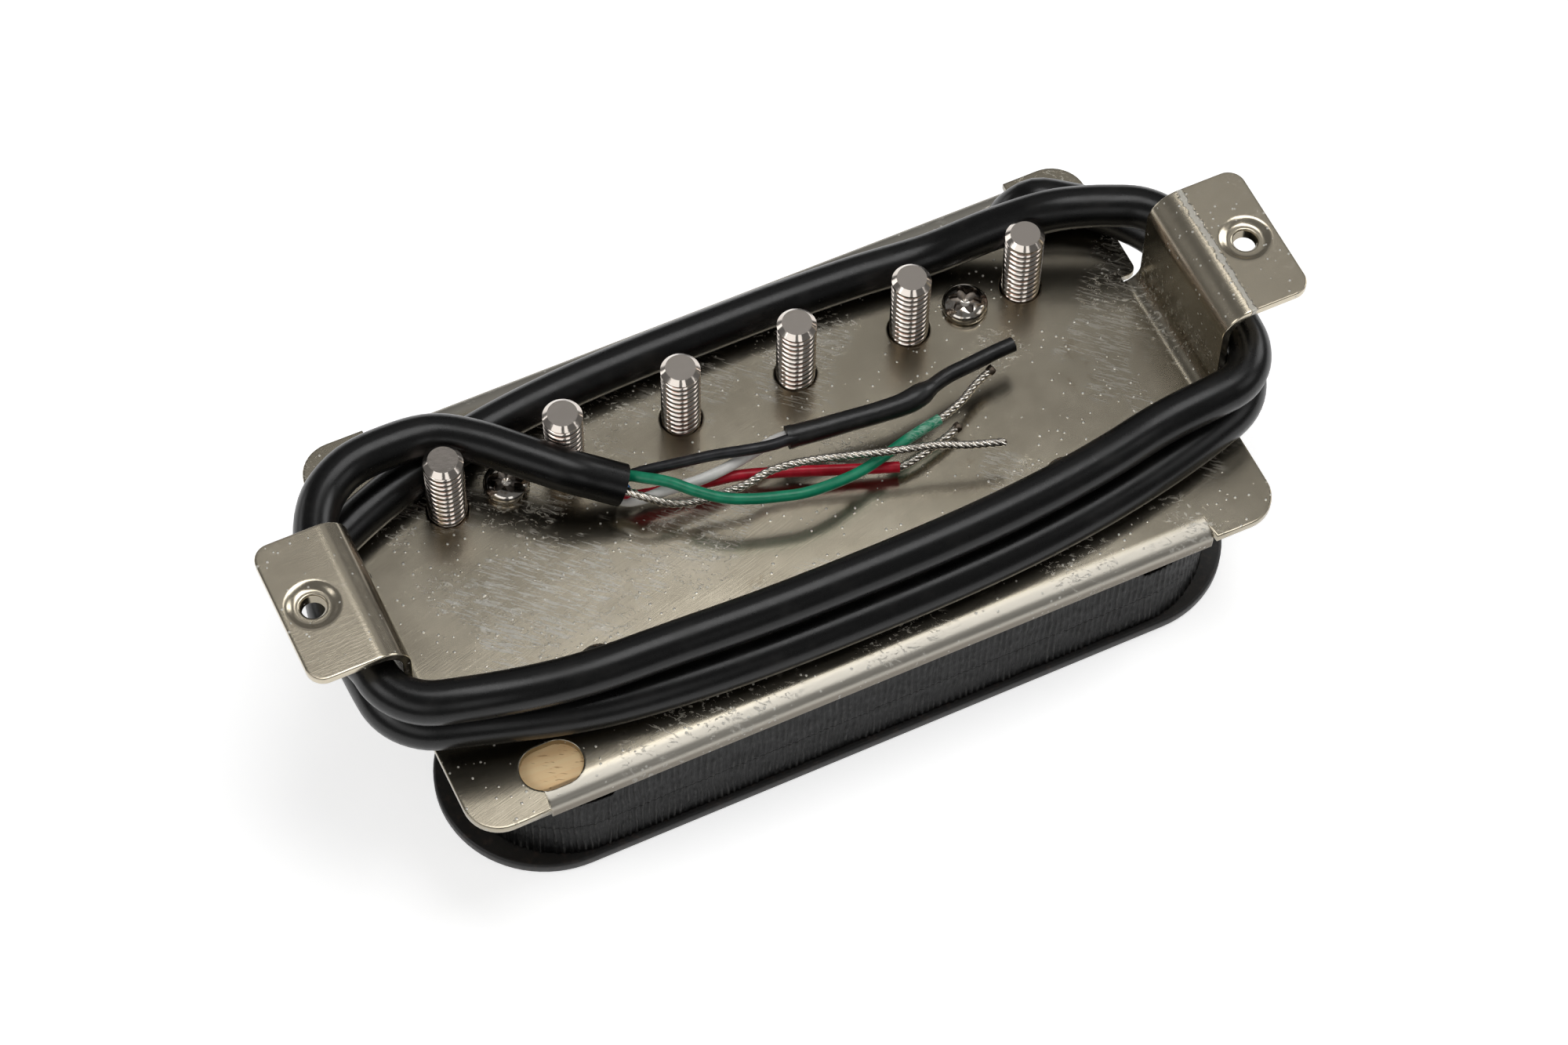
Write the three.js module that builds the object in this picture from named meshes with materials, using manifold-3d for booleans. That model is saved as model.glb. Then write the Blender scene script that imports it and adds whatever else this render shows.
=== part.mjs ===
// Twin-coil guitar pickup, lying face down, with its lead wound round the two mounting legs.
// Millimetres, +Z up. Z = 0 is the surface that the two bobbin faces rest on.
// +X runs along the bobbins towards the lead's exit, +Y towards the row of adjustable pole screws.

import * as THREE from 'three';
import { mergeVertices } from 'three/addons/utils/BufferGeometryUtils.js';
import Module from 'manifold-3d';

const wasm = await Module();
wasm.setup();

const mm = 1;
const overrun = 1.0 * mm;
const weld = 0.0001 * mm;
const fit = 0.1 * mm;
const seat = 0.3 * mm;

// Poles: two rows of six on the string spacing
const poleCount = 6;
const polePitch = 10.05 * mm;
const poleSpan = polePitch * (poleCount - 1);
const firstPoleX = -poleSpan / 2;

// Bobbins
const bobbinWidth = 17.8 * mm;
const bobbinEnd = 8.875 * mm;
const bobbinLength = poleSpan + 2 * bobbinEnd;
const bobbinHeight = 9.0 * mm;
const rowGap = 0.3 * mm;
const flange = 1.1 * mm;
const coreWidth = 6.4 * mm;
const rowY = (bobbinWidth + rowGap) / 2;

// Tape round each coil
const tapeSideInset = 0.4 * mm;
const tapeEndInset = 1.8 * mm;
const tapeWidth = bobbinWidth - 2 * tapeSideInset;
const tapeLength = bobbinLength - 2 * tapeEndInset;
const tapeThickness = 0.3 * mm;
const tapeRise = 1.3 * mm;
const tapeRiseInset = 9.2 * mm;

// Magnet layer between the bobbins and the plate
const layerHeight = 3.2 * mm;
const layerEndInset = 3.0 * mm;
const layerLength = bobbinLength - 2 * layerEndInset;
const keeperWidth = 5.0 * mm;
const slugDiameter = 4.8 * mm;
const slugBevel = 0.3 * mm;
const slugTopGap = 0.3 * mm;

// Baseplate sheet
const sheet = 0.7 * mm;
const plateOverhang = 0.4 * mm;
const plateLength = bobbinLength + 2 * plateOverhang;
const lipRoom = 0.75 * mm;
const lipSpan = 2 * (rowY + tapeWidth / 2 + lipRoom);
const earStep = 0.35 * mm;
const earSpan = lipSpan + 2 * earStep;
const earRadius = 2.9 * mm;
const earLength = 6.05 * mm;
const lipLength = plateLength - 2 * earLength;
const lipRadius = 1.7 * mm;
const lipDepth = 2.0 * mm;

// Mounting legs and feet, folded up from the ends of the plate
const legWidth = 12.7 * mm;
const legShift = -0.45 * mm;
const legOverhang = 0.6 * mm;
const legSpan = plateLength + 2 * legOverhang;
const legHeight = 10.4 * mm;
const legRootRadius = 2.0 * mm;
const footRadius = 2.5 * mm;
const footReach = 7.1 * mm;
const footSpan = legSpan + 2 * footReach;
const footCorner = 1.4 * mm;
const reliefWidth = 0.8 * mm;
const reliefDepth = 1.6 * mm;
const reliefRadius = 0.8 * mm;
const mountReach = 4.5 * mm;
const mountSpan = legSpan + 2 * mountReach;
const mountBore = 2.1 * mm;
const mountDish = 4.3 * mm;
const mountDishFloor = 2.9 * mm;
const mountDishDepth = 0.3 * mm;
const mountCollar = 3.3 * mm;
const mountCollarHeight = 0.6 * mm;

// Oval holes in the plate: one for the lead, one over the spacer
const ovalLength = 5.0 * mm;
const ovalWidth = 3.8 * mm;
const ovalPastPole = 1.775 * mm;
const ovalPastRow = 6.05 * mm;
const ovalX = poleSpan / 2 + ovalPastPole;
const ovalY = rowY + ovalPastRow;

// Adjustable pole screws
const screwDiameter = 3.175 * mm;
const screwPitch = 0.635 * mm;
const threadDepth = 0.34 * mm;
const screwTipDiameter = 2.65 * mm;
const screwTipBevel = 0.35 * mm;
const screwStandOut = 7.3 * mm;
const screwHead = 4.75 * mm;
const screwHeadHeight = 1.6 * mm;
const screwHeadBevel = 0.3 * mm;
const screwHeadSink = 0.1 * mm;
const screwSlotWidth = 0.8 * mm;
const screwSlotDepth = 0.8 * mm;
const screwRun = 0.24 * mm;
const screwRaise = 0.7 * mm;
const threadCover = 1.0 * mm;

// Bobbin screws with pan heads
const panX = 2 * polePitch;
const panDiameter = 3.7 * mm;
const panHeight = 1.3 * mm;
const panEdge = 0.6 * mm;
const panShank = 2.1 * mm;
const panLength = 8.4 * mm;
const lobeOuter = 1.15 * mm;
const lobeInner = 0.85 * mm;
const lobeDepth = 0.7 * mm;
const lobeCorners = 12;

// Lead and wires
const leadDiameter = 3.3 * mm;
const turnPitch = 3.86 * mm;
const plateRest = 0.06 * mm;
const legRoom = 0.35 * mm;
const wrapRadius = 4.9 * mm;
const wrapSpread = 10.2 * mm;
const frontBowAngle = 17.5;
const frontBowPower = 2.6;
const backBowAngle = 26;
const backBowPower = 3;
const middleRoll = 64;
const leftRollStart = 6.0 * mm;
const rightRollStart = 26.0 * mm;
const climbStart = 17.0 * mm;
const climbEnd = 31.0 * mm;
const wireDiameter = 0.9 * mm;
const bareDiameter = 0.5 * mm;
const sleeveDiameter = 1.9 * mm;
const sleeveEndDiameter = 1.35 * mm;
const solderDiameter = 1.1 * mm;

// Heights and faces that follow from the sizes above
const plateUnder = bobbinHeight + layerHeight;
const plateTop = plateUnder + sheet;
const footTop = plateTop + legHeight;
const footUnder = footTop - sheet;
const screwTip = plateTop + screwStandOut;
const headTop = screwHeadSink + screwHeadHeight;
const screwBore = screwDiameter + screwRun;
const magnetWidth = 2 * (rowY - slugDiameter / 2 - seat);
const leadRadius = leadDiameter / 2;

const plastic = { color: 0x121110, roughness: 0.5, metalness: 0 };
const tapeBlack = { color: 0x0d0d0e, roughness: 0.4, metalness: 0 };
const copper = { color: 0x8a4a2a, roughness: 0.4, metalness: 0.8 };
const ferrite = { color: 0x4b4c4e, roughness: 0.6, metalness: 0.7 };
const steel = { color: 0x9a9a98, roughness: 0.35, metalness: 1 };
const nickel = { color: 0xc9c6bf, roughness: 0.2, metalness: 1 };
const nickelSilver = { color: 0x9b927f, roughness: 0.28, metalness: 1 };
const maple = { color: 0xcfae7e, roughness: 0.65, metalness: 0 };
const jacket = { color: 0x141416, roughness: 0.45, metalness: 0 };
const tinned = { color: 0x8a8478, roughness: 0.4, metalness: 0.9 };
const insulation = {
  green: { color: 0x0f8a63, roughness: 0.4, metalness: 0 },
  red: { color: 0xc41230, roughness: 0.4, metalness: 0 },
  black: { color: 0x151517, roughness: 0.4, metalness: 0 },
  white: { color: 0xe4e1da, roughness: 0.45, metalness: 0 },
};

const pickup = new THREE.Group();

// Adds one named piece, given as a solid or as a closed geometry
function add(name, piece, look) {
  const geometry = piece.isBufferGeometry ? piece : geometryOf(piece);
  const mesh = new THREE.Mesh(geometry, new THREE.MeshStandardMaterial(look));
  mesh.name = name;
  pickup.add(mesh);
}

function solid(geometry) {
  geometry.deleteAttribute('normal');
  geometry.deleteAttribute('uv');
  const joined = mergeVertices(geometry, weld);
  const corners = [];
  for (let i = 0; i < joined.index.count; i += 3) {
    const [a, b, c] = [0, 1, 2].map((step) => joined.index.getX(i + step));
    if (a !== b && b !== c && c !== a) corners.push(a, b, c);
  }
  return new wasm.Manifold(new wasm.Mesh({
    numProp: 3,
    vertProperties: new Float32Array(joined.attributes.position.array),
    triVerts: new Uint32Array(corners),
  }));
}

function geometryOf(body) {
  const { vertProperties, triVerts } = body.getMesh();
  const geometry = new THREE.BufferGeometry();
  geometry.setAttribute('position', new THREE.BufferAttribute(vertProperties, 3));
  geometry.setIndex(new THREE.BufferAttribute(triVerts, 1));
  geometry.computeVertexNormals();
  return geometry;
}

function extruded(outline, depth, curveSegments) {
  return new THREE.ExtrudeGeometry(outline, { depth, bevelEnabled: false, curveSegments });
}

// An upright prism of an outline, between two heights
function prism(outline, bottom, top, curveSegments = 8) {
  return solid(extruded(outline, top - bottom, curveSegments).translate(0, 0, bottom));
}

// An upright turned post; its two radii may differ
function post(x, y, bottom, top, lowRadius, highRadius = lowRadius, sides = 16) {
  const geometry = new THREE.CylinderGeometry(highRadius, lowRadius, top - bottom, sides);
  return solid(geometry.rotateX(Math.PI / 2).translate(x, y, (bottom + top) / 2));
}

// A turned solid about an upright axis, from [radius, height] pairs
function turned(x, y, profile, sides) {
  const points = profile.map(([radius, height]) => new THREE.Vector2(radius, height));
  return solid(new THREE.LatheGeometry(points, sides).rotateX(Math.PI / 2).translate(x, y, 0));
}

// An upright block between two corners
function block(low, high) {
  const size = high.map((value, axis) => value - low[axis]);
  const middle = high.map((value, axis) => (value + low[axis]) / 2);
  return solid(new THREE.BoxGeometry(...size).translate(...middle));
}

function joinAll(bodies) {
  return bodies.reduce((whole, body) => whole.add(body));
}

// An outline with two straight sides along X and full round ends
function longRound(x, y, length, width) {
  const radius = width / 2;
  const reach = length / 2 - radius;
  const outline = new THREE.Shape();
  outline.absarc(x + reach, y, radius, -Math.PI / 2, Math.PI / 2);
  outline.absarc(x - reach, y, radius, Math.PI / 2, (3 * Math.PI) / 2);
  return outline;
}

// The hole that a bobbin screw passes through
function panHole(x, y, bottom, top) {
  const radius = panShank / 2 + fit;
  return post(x, y, bottom, top, radius, radius, 12);
}

function poleXs() {
  return Array.from({ length: poleCount }, (_, index) => firstPoleX + index * polePitch);
}

// Bobbins, coils and tape.
// Each bobbin is one moulding: a face flange, a core that the poles pass through and a base flange.
// The tape covers the coil and the base flange, and stands up behind the plate's lip.
const coreLength = (poleCount - 1) * polePitch + coreWidth;
const baseFlangeWidth = tapeWidth - 2 * tapeThickness - 2 * fit;
const baseFlangeLength = tapeLength - 2 * tapeThickness - 2 * fit;
const tapeFoot = flange + fit;

function bobbin(side) {
  const y = side * rowY;
  const body = joinAll([
    prism(longRound(0, y, bobbinLength, bobbinWidth), 0, flange),
    prism(longRound(0, y, coreLength, coreWidth), flange / 2, bobbinHeight - flange / 2, 6),
    prism(longRound(0, y, baseFlangeLength, baseFlangeWidth), bobbinHeight - flange, bobbinHeight),
  ]);
  const screwHoles = [-panX, panX].map((x) => (
    panHole(x, y, plateTop - panLength - seat, bobbinHeight + overrun)
  ));
  return screwHoles.reduce((whole, hole) => whole.subtract(hole), body);
}

function screwSideBobbin() {
  const well = headTop + screwRaise + fit;
  return poleXs().reduce((body, x) => body
    .subtract(post(x, rowY, -overrun, bobbinHeight + overrun, screwBore / 2))
    .subtract(post(x, rowY, -overrun, well, screwHead / 2 + fit)), bobbin(1));
}

function slugSideBobbin() {
  return poleXs().reduce((body, x) => body
    .subtract(post(x, -rowY, -overrun, bobbinHeight + overrun, slugDiameter / 2 + fit)), bobbin(-1));
}

function ring(y, length, width, wall, bottom, top) {
  const outline = longRound(0, y, length, width);
  const hollow = longRound(0, y, length - 2 * wall, width - 2 * wall);
  return prism(outline, bottom, top).subtract(prism(hollow, bottom - overrun, top + overrun));
}

function coil(side) {
  const y = side * rowY;
  const outline = longRound(0, y, baseFlangeLength, baseFlangeWidth);
  const outside = prism(outline, flange + fit, bobbinHeight - flange - fit);
  const core = longRound(0, y, coreLength + 2 * fit, coreWidth + 2 * fit);
  return outside.subtract(prism(core, 0, bobbinHeight, 6));
}

function tape(side) {
  const y = side * rowY;
  const top = bobbinHeight + tapeRise;
  const whole = ring(y, tapeLength, tapeWidth, tapeThickness, tapeFoot, top);
  const wallInside = y + side * (tapeWidth / 2 - 2 * tapeThickness);
  const inner = -side * (bobbinWidth + overrun);
  const [lowY, highY] = [wallInside, inner].sort((a, b) => a - b);
  const level = bobbinHeight - fit;
  const reach = tapeLength / 2 + overrun;
  return whole
    .subtract(block([-reach, lowY, level], [reach, highY, top + overrun]))
    .subtract(block([-reach, -earSpan, level], [tapeRiseInset - tapeLength / 2, earSpan, top + overrun]))
    .subtract(block([tapeLength / 2 - tapeRiseInset, -earSpan, level], [reach, earSpan, top + overrun]));
}

add('bobbin_screw_side', screwSideBobbin(), plastic);
add('bobbin_slug_side', slugSideBobbin(), plastic);
add('coil_screw_side', coil(1), copper);
add('coil_slug_side', coil(-1), copper);
add('tape_screw_side', tape(1), tapeBlack);
add('tape_slug_side', tape(-1), tapeBlack);

// Magnet layer: the bar magnet between the rows, the keeper bar that the pole screws pass
// through, and the maple strip that fills the space beside the slugs.
function keeperBar() {
  const halfLength = layerLength / 2;
  const halfWidth = keeperWidth / 2;
  const low = [-halfLength, rowY - halfWidth, bobbinHeight];
  const bar = block(low, [halfLength, rowY + halfWidth, plateUnder]);
  const bores = poleXs().map((x) => (
    post(x, rowY, bobbinHeight - overrun, plateUnder + overrun, screwBore / 2)
  ));
  const panHoles = [-panX, panX].map((x) => (
    panHole(x, rowY, bobbinHeight - overrun, plateUnder + overrun)
  ));
  return [...bores, ...panHoles].reduce((whole, hole) => whole.subtract(hole), bar);
}

const halfLayer = layerLength / 2;
const spacerOuterY = -(lipSpan / 2 - lipRadius - fit);
const spacerInnerY = -(rowY + slugDiameter / 2 + seat);
add('keeper_bar', keeperBar(), steel);
add('bar_magnet', block(
  [-halfLayer, -magnetWidth / 2, bobbinHeight],
  [halfLayer, magnetWidth / 2, plateUnder],
), ferrite);
add('maple_spacer', block(
  [-halfLayer, spacerOuterY, bobbinHeight],
  [halfLayer, spacerInnerY, plateUnder],
), maple);

// Baseplate: one sheet with two lips folded down along its sides, four ears at its corners,
// and a leg folded up at each end whose foot turns outwards and carries the mounting hole.
function plateOutline() {
  const endX = plateLength / 2;
  const earY = earSpan / 2;
  const lipX = lipLength / 2;
  const bendY = lipSpan / 2 - lipRadius;
  const reliefX = endX - reliefDepth;
  const reliefY = legWidth / 2 + reliefWidth;
  const outline = new THREE.Shape();
  outline.moveTo(-lipX, -bendY);
  for (const side of [1, -1]) {
    const shift = side * legShift;
    const at = (x, y) => [side * x, side * y];
    const turn = side > 0 ? 0 : Math.PI;
    const corner = (x, y, radius, from) => {
      outline.absarc(...at(x, y), radius, from + turn, from + turn + Math.PI / 2);
    };
    outline.lineTo(...at(lipX, -bendY));
    outline.lineTo(...at(lipX, -earY));
    corner(endX - earRadius, -earY + earRadius, earRadius, -Math.PI / 2);
    corner(endX - reliefRadius, shift - reliefY - reliefRadius, reliefRadius, 0);
    outline.lineTo(...at(reliefX, shift - reliefY));
    outline.lineTo(...at(reliefX, shift + reliefY));
    corner(endX - reliefRadius, shift + reliefY + reliefRadius, reliefRadius, -Math.PI / 2);
    corner(endX - earRadius, earY - earRadius, earRadius, 0);
    outline.lineTo(...at(lipX, earY));
    outline.lineTo(...at(lipX, bendY));
  }
  outline.closePath();
  return outline;
}

// The folded lip's section, in Y and Z, extruded along X
function lip(side) {
  const outerY = lipSpan / 2;
  const centreY = outerY - lipRadius;
  const centreZ = plateTop - lipRadius;
  const lowZ = plateTop - lipDepth;
  const innerRadius = lipRadius - sheet;
  const section = new THREE.Shape();
  section.moveTo(centreY - overrun, plateUnder);
  section.absarc(centreY, centreZ, innerRadius, Math.PI / 2, 0, true);
  section.lineTo(outerY - sheet, lowZ);
  section.lineTo(outerY, lowZ);
  section.absarc(centreY, centreZ, lipRadius, 0, Math.PI / 2, false);
  section.lineTo(centreY - overrun, plateTop);
  section.closePath();
  const geometry = extruded(section, lipLength, 3);
  const axes = [[0, 1, 0], [0, 0, 1], [1, 0, 0]].map((axis) => new THREE.Vector3(...axis));
  geometry.applyMatrix4(new THREE.Matrix4().makeBasis(...axes)).translate(-lipLength / 2, 0, 0);
  return solid(geometry.rotateZ(side > 0 ? 0 : Math.PI));
}

// The leg's section, in X and Z, extruded along Y and trimmed to the foot's round corners
function leg(side) {
  const outerX = legSpan / 2;
  const innerX = outerX - sheet;
  const rootX = outerX - legRootRadius;
  const rootZ = plateUnder + legRootRadius;
  const bendX = innerX + footRadius;
  const bendZ = footTop - footRadius;
  const section = new THREE.Shape();
  section.moveTo(rootX - overrun, plateUnder);
  section.absarc(rootX, rootZ, legRootRadius, -Math.PI / 2, 0, false);
  section.absarc(bendX, bendZ, footRadius - sheet, Math.PI, Math.PI / 2, true);
  section.lineTo(footSpan / 2, footUnder);
  section.lineTo(footSpan / 2, footTop);
  section.absarc(bendX, bendZ, footRadius, Math.PI / 2, Math.PI, false);
  section.absarc(rootX, rootZ, legRootRadius - sheet, 0, -Math.PI / 2, true);
  section.lineTo(rootX - overrun, plateTop);
  section.closePath();
  const geometry = extruded(section, legWidth, 3);
  geometry.rotateX(Math.PI / 2).translate(0, legWidth / 2, 0).rotateZ(side > 0 ? 0 : Math.PI);

  const half = legWidth / 2;
  const end = footSpan / 2;
  const plan = new THREE.Shape();
  plan.moveTo(0, -half);
  plan.absarc(end - footCorner, footCorner - half, footCorner, -Math.PI / 2, 0, false);
  plan.absarc(end - footCorner, half - footCorner, footCorner, 0, Math.PI / 2, false);
  plan.lineTo(0, half);
  plan.closePath();
  const trim = extruded(plan, footTop + overrun, 3).rotateZ(side > 0 ? 0 : Math.PI);
  return solid(geometry).intersect(solid(trim)).translate([0, legShift, 0]);
}

function baseplate() {
  const mountX = mountSpan / 2;
  const sheets = [prism(plateOutline(), plateUnder, plateTop, 4), lip(1), lip(-1), leg(1), leg(-1)];
  const cuts = poleXs().map((x) => post(x, rowY, plateUnder - overrun, plateTop + overrun, screwBore / 2));
  for (const side of [1, -1]) {
    const x = side * mountX;
    sheets.push(post(x, legShift, footUnder - mountCollarHeight, footUnder + sheet / 2, mountCollar / 2));
    cuts.push(post(x, legShift, footUnder - mountCollarHeight - overrun, footTop + overrun, mountBore / 2));
    cuts.push(post(x, legShift, footTop - mountDishDepth, footTop, mountDishFloor / 2, mountDish / 2));
    cuts.push(prism(longRound(side * ovalX, side * ovalY, ovalLength, ovalWidth), plateUnder - overrun,
      plateTop + overrun, 5));
    for (const row of [rowY, -rowY]) {
      cuts.push(panHole(side * panX, row, plateUnder - overrun, plateTop + overrun));
    }
  }
  return cuts.reduce((whole, cut) => whole.subtract(cut), joinAll(sheets));
}

add('baseplate', baseplate(), nickelSilver);

// Pole screws: a slotted head sunk in the bobbin's face, a smooth run through the bobbin and
// the keeper bar, and the cut thread that stands out of the plate.
function poleScrew(x) {
  const radius = screwDiameter / 2;
  const headRadius = screwHead / 2;
  const profile = [
    [0, screwHeadSink],
    [headRadius - screwHeadBevel, screwHeadSink],
    [headRadius, screwHeadSink + screwHeadBevel],
    [headRadius, headTop],
    [radius, headTop],
  ];
  const threadStart = plateTop - threadCover;
  const ridges = Math.floor((screwTip - screwTipBevel - threadStart) / screwPitch);
  for (let ridge = 0; ridge < ridges; ridge += 1) {
    const foot = threadStart + ridge * screwPitch;
    profile.push([radius, foot], [radius - threadDepth, foot + screwPitch / 2]);
  }
  profile.push(
    [radius, screwTip - screwTipBevel],
    [screwTipDiameter / 2, screwTip],
    [0, screwTip],
  );
  const slot = block(
    [x - overrun - headRadius, rowY - screwSlotWidth / 2, screwHeadSink - overrun],
    [x + overrun + headRadius, rowY + screwSlotWidth / 2, screwHeadSink + screwSlotDepth],
  );
  return turned(x, rowY, profile, 12).subtract(slot);
}

// Slug poles: plain steel pins, flush with the bobbin's face
function slugPole(x) {
  const radius = slugDiameter / 2;
  return turned(x, -rowY, [
    [0, 0],
    [radius - slugBevel, 0],
    [radius, slugBevel],
    [radius, plateUnder - slugTopGap],
    [0, plateUnder - slugTopGap],
  ], 16);
}

poleXs().forEach((x, index) => {
  add(`pole_screw_${index + 1}`, poleScrew(x), nickel);
  add(`slug_pole_${index + 1}`, slugPole(x), steel);
});

// Bobbin screws: pan heads on the plate, with a six-lobe recess
function panScrew(x, y) {
  const radius = panDiameter / 2;
  const headEnd = plateTop + panHeight;
  const body = turned(x, y, [
    [0, plateTop - panLength],
    [panShank / 2, plateTop - panLength],
    [panShank / 2, plateTop],
    [radius, plateTop],
    [radius, plateTop + panEdge],
    [(radius + lobeOuter) / 2, headEnd],
    [0, headEnd],
  ], 16);
  const lobes = new THREE.Shape(Array.from({ length: lobeCorners }, (_, corner) => {
    const angle = (corner * 2 * Math.PI) / lobeCorners;
    const reach = corner % 2 ? lobeInner : lobeOuter;
    return new THREE.Vector2(x + reach * Math.cos(angle), y + reach * Math.sin(angle));
  }));
  return body.subtract(prism(lobes, headEnd - lobeDepth, headEnd + overrun));
}

[['back_left', -1, 1], ['back_right', 1, 1], ['front_left', -1, -1], ['front_right', 1, -1]]
  .forEach(([place, sideX, sideY]) => {
    add(`bobbin_screw_${place}`, panScrew(sideX * panX, sideY * rowY), steel);
  });

// A path laid point by point, with one tube ring at each point
class LaidPath extends THREE.Curve {
  constructor(points) {
    super();
    this.points = points;
  }

  getPoint(share, target = new THREE.Vector3()) {
    const last = this.points.length - 1;
    const index = Math.min(Math.floor(share * last), last - 1);
    return target.lerpVectors(this.points[index], this.points[index + 1], share * last - index);
  }

  getTangent(share, target = new THREE.Vector3()) {
    const last = this.points.length - 1;
    const index = Math.round(share * last);
    const here = this.points[index];
    target.set(0, 0, 0);
    if (index > 0) target.add(here.clone().sub(this.points[index - 1]).normalize());
    if (index < last) target.add(this.points[index + 1].clone().sub(here).normalize());
    return target.normalize();
  }

  getUtoTmapping(share) {
    return share;
  }
}

function roundSection(diameter, sides) {
  return new THREE.Shape(Array.from({ length: sides }, (_, index) => {
    const angle = (index * 2 * Math.PI) / sides;
    return new THREE.Vector2(Math.cos(angle), Math.sin(angle)).multiplyScalar(diameter / 2);
  }));
}

function tube(path, diameter, steps, sides = 8) {
  const options = { steps, bevelEnabled: false, extrudePath: path };
  return new THREE.ExtrudeGeometry(roundSection(diameter, sides), options);
}

const lengths = {};

// Points of a route, from [x, y, z] steps off one place
function offsets(place, steps) {
  return steps.map((step) => new THREE.Vector3(...step).multiplyScalar(mm).add(place));
}

// A free stretch through chosen points; the rings' spacing is in diameters
const ringSpacing = 2.5;

function stretch(name, points, diameter) {
  const curve = new THREE.CatmullRomCurve3(points, false, 'centripetal');
  lengths[name] = curve.getLength();
  return tube(curve, diameter, Math.ceil(lengths[name] / (ringSpacing * diameter)));
}

// The lead's winding: one and a half turns round the legs. It passes each leg on the outside in
// two arcs, and bows outwards along the front and the back. Along the front the second turn leans
// inwards on the first, and towards the legs it rolls up until it is right above it.
const lowZ = plateTop + leadRadius + plateRest;
const highZ = lowZ + turnPitch;
const outsideX = legSpan / 2 + leadRadius + legRoom;
const wrapX = outsideX - wrapRadius;
const arcSteps = 3;
const firstRunSteps = 10;
const backRunSteps = 8;
const leaningSteps = 20;

function smooth(value, from, to) {
  const share = THREE.MathUtils.clamp((value - from) / (to - from), 0, 1);
  return share * share * (3 - 2 * share);
}

// The bow along one side: ends where the arcs leave off, deepest in the middle
function bow(angle, power) {
  const slope = THREE.MathUtils.degToRad(angle);
  const endX = wrapX + wrapRadius * Math.sin(slope);
  const endY = wrapSpread / 2 + wrapRadius * Math.cos(slope);
  const depth = (endX * Math.tan(slope)) / power;
  return { slope, endX, at: (x) => endY + depth * (1 - Math.abs(x / endX) ** power) };
}

const frontBow = bow(frontBowAngle, frontBowPower);
const backBow = bow(backBowAngle, backBowPower);

// Points of the arc round one corner of a leg, from the bow's end to the straight outside
function cornerArc(sideX, sideY, slope, z, steps) {
  return Array.from({ length: steps }, (_, index) => {
    const angle = slope + ((Math.PI / 2 - slope) * (index + 1)) / steps;
    return new THREE.Vector3(
      sideX * (wrapX + wrapRadius * Math.sin(angle)),
      legShift + sideY * (wrapSpread / 2 + wrapRadius * Math.cos(angle)),
      z,
    );
  });
}

// The arc's points in the two directions of the winding
const outward = (...place) => cornerArc(...place, arcSteps);
const inward = (...place) => outward(...place).reverse();

// The first turn's points along the front, from beside the right leg to beside the left
function frontTurn(steps) {
  const run = Array.from({ length: steps + 1 }, (_, index) => {
    const x = frontBow.endX * Math.cos((index * Math.PI) / steps);
    return new THREE.Vector3(x, legShift - frontBow.at(x), lowZ);
  });
  return [...inward(1, -1, frontBow.slope, lowZ), ...run, ...outward(-1, -1, frontBow.slope, lowZ)];
}

// Points of the second turn: each is rolled up and inwards round a point of the first
function leaning(places) {
  return places.map((place, index) => {
    const before = places[Math.max(index - 1, 0)];
    const after = places[Math.min(index + 1, places.length - 1)];
    const along = after.clone().sub(before).normalize();
    const nearLeft = smooth(-place.x, leftRollStart, frontBow.endX);
    const nearRight = smooth(place.x, rightRollStart, outsideX);
    const rolled = middleRoll + (90 - middleRoll) * Math.max(nearLeft, nearRight);
    const roll = THREE.MathUtils.degToRad(rolled);
    const beside = new THREE.Vector3(along.y, -along.x, 0).multiplyScalar(turnPitch * Math.cos(roll));
    return place.clone().add(beside).setZ(lowZ + turnPitch * Math.sin(roll));
  });
}

// Points along the back, from the left leg to the right, climbing to the second turn
function backRun(steps) {
  return Array.from({ length: steps + 1 }, (_, index) => {
    const x = -backBow.endX * Math.cos((index * Math.PI) / steps);
    const climb = smooth(x, climbStart, climbEnd);
    return new THREE.Vector3(x, legShift + backBow.at(x), lowZ + (highZ - lowZ) * climb);
  });
}

// The whole winding, with a straight stretch along the outside of a leg at each end
function windingPoints() {
  const points = [
    ...frontTurn(firstRunSteps),
    ...inward(-1, 1, backBow.slope, lowZ),
    ...backRun(backRunSteps),
    ...outward(1, 1, backBow.slope, highZ),
    ...leaning(frontTurn(leaningSteps)),
  ];
  const straight = new THREE.Vector3(0, wrapSpread, 0);
  return [points[0].clone().add(straight), ...points, points[points.length - 1].clone().add(straight)];
}

// The least gap between two places on the winding that are far apart along it
function leastGap(points, diameter) {
  const path = new THREE.CatmullRomCurve3(points);
  const samples = 400;
  const places = path.getSpacedPoints(samples);
  const skip = Math.ceil((4 * diameter * samples) / path.getLength());
  let least = Infinity;
  places.forEach((place, index) => places.slice(index + skip).forEach((other) => {
    least = Math.min(least, place.distanceTo(other) - diameter);
  }));
  return least;
}

const winding = windingPoints();
console.log(`lead winding: least gap to itself ${leastGap(winding, leadDiameter).toFixed(2)} mm`);
lengths.cable_winding = new LaidPath(winding).getLength();
add('cable_winding', tube(new LaidPath(winding), leadDiameter, winding.length - 1, 6), jacket);

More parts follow.
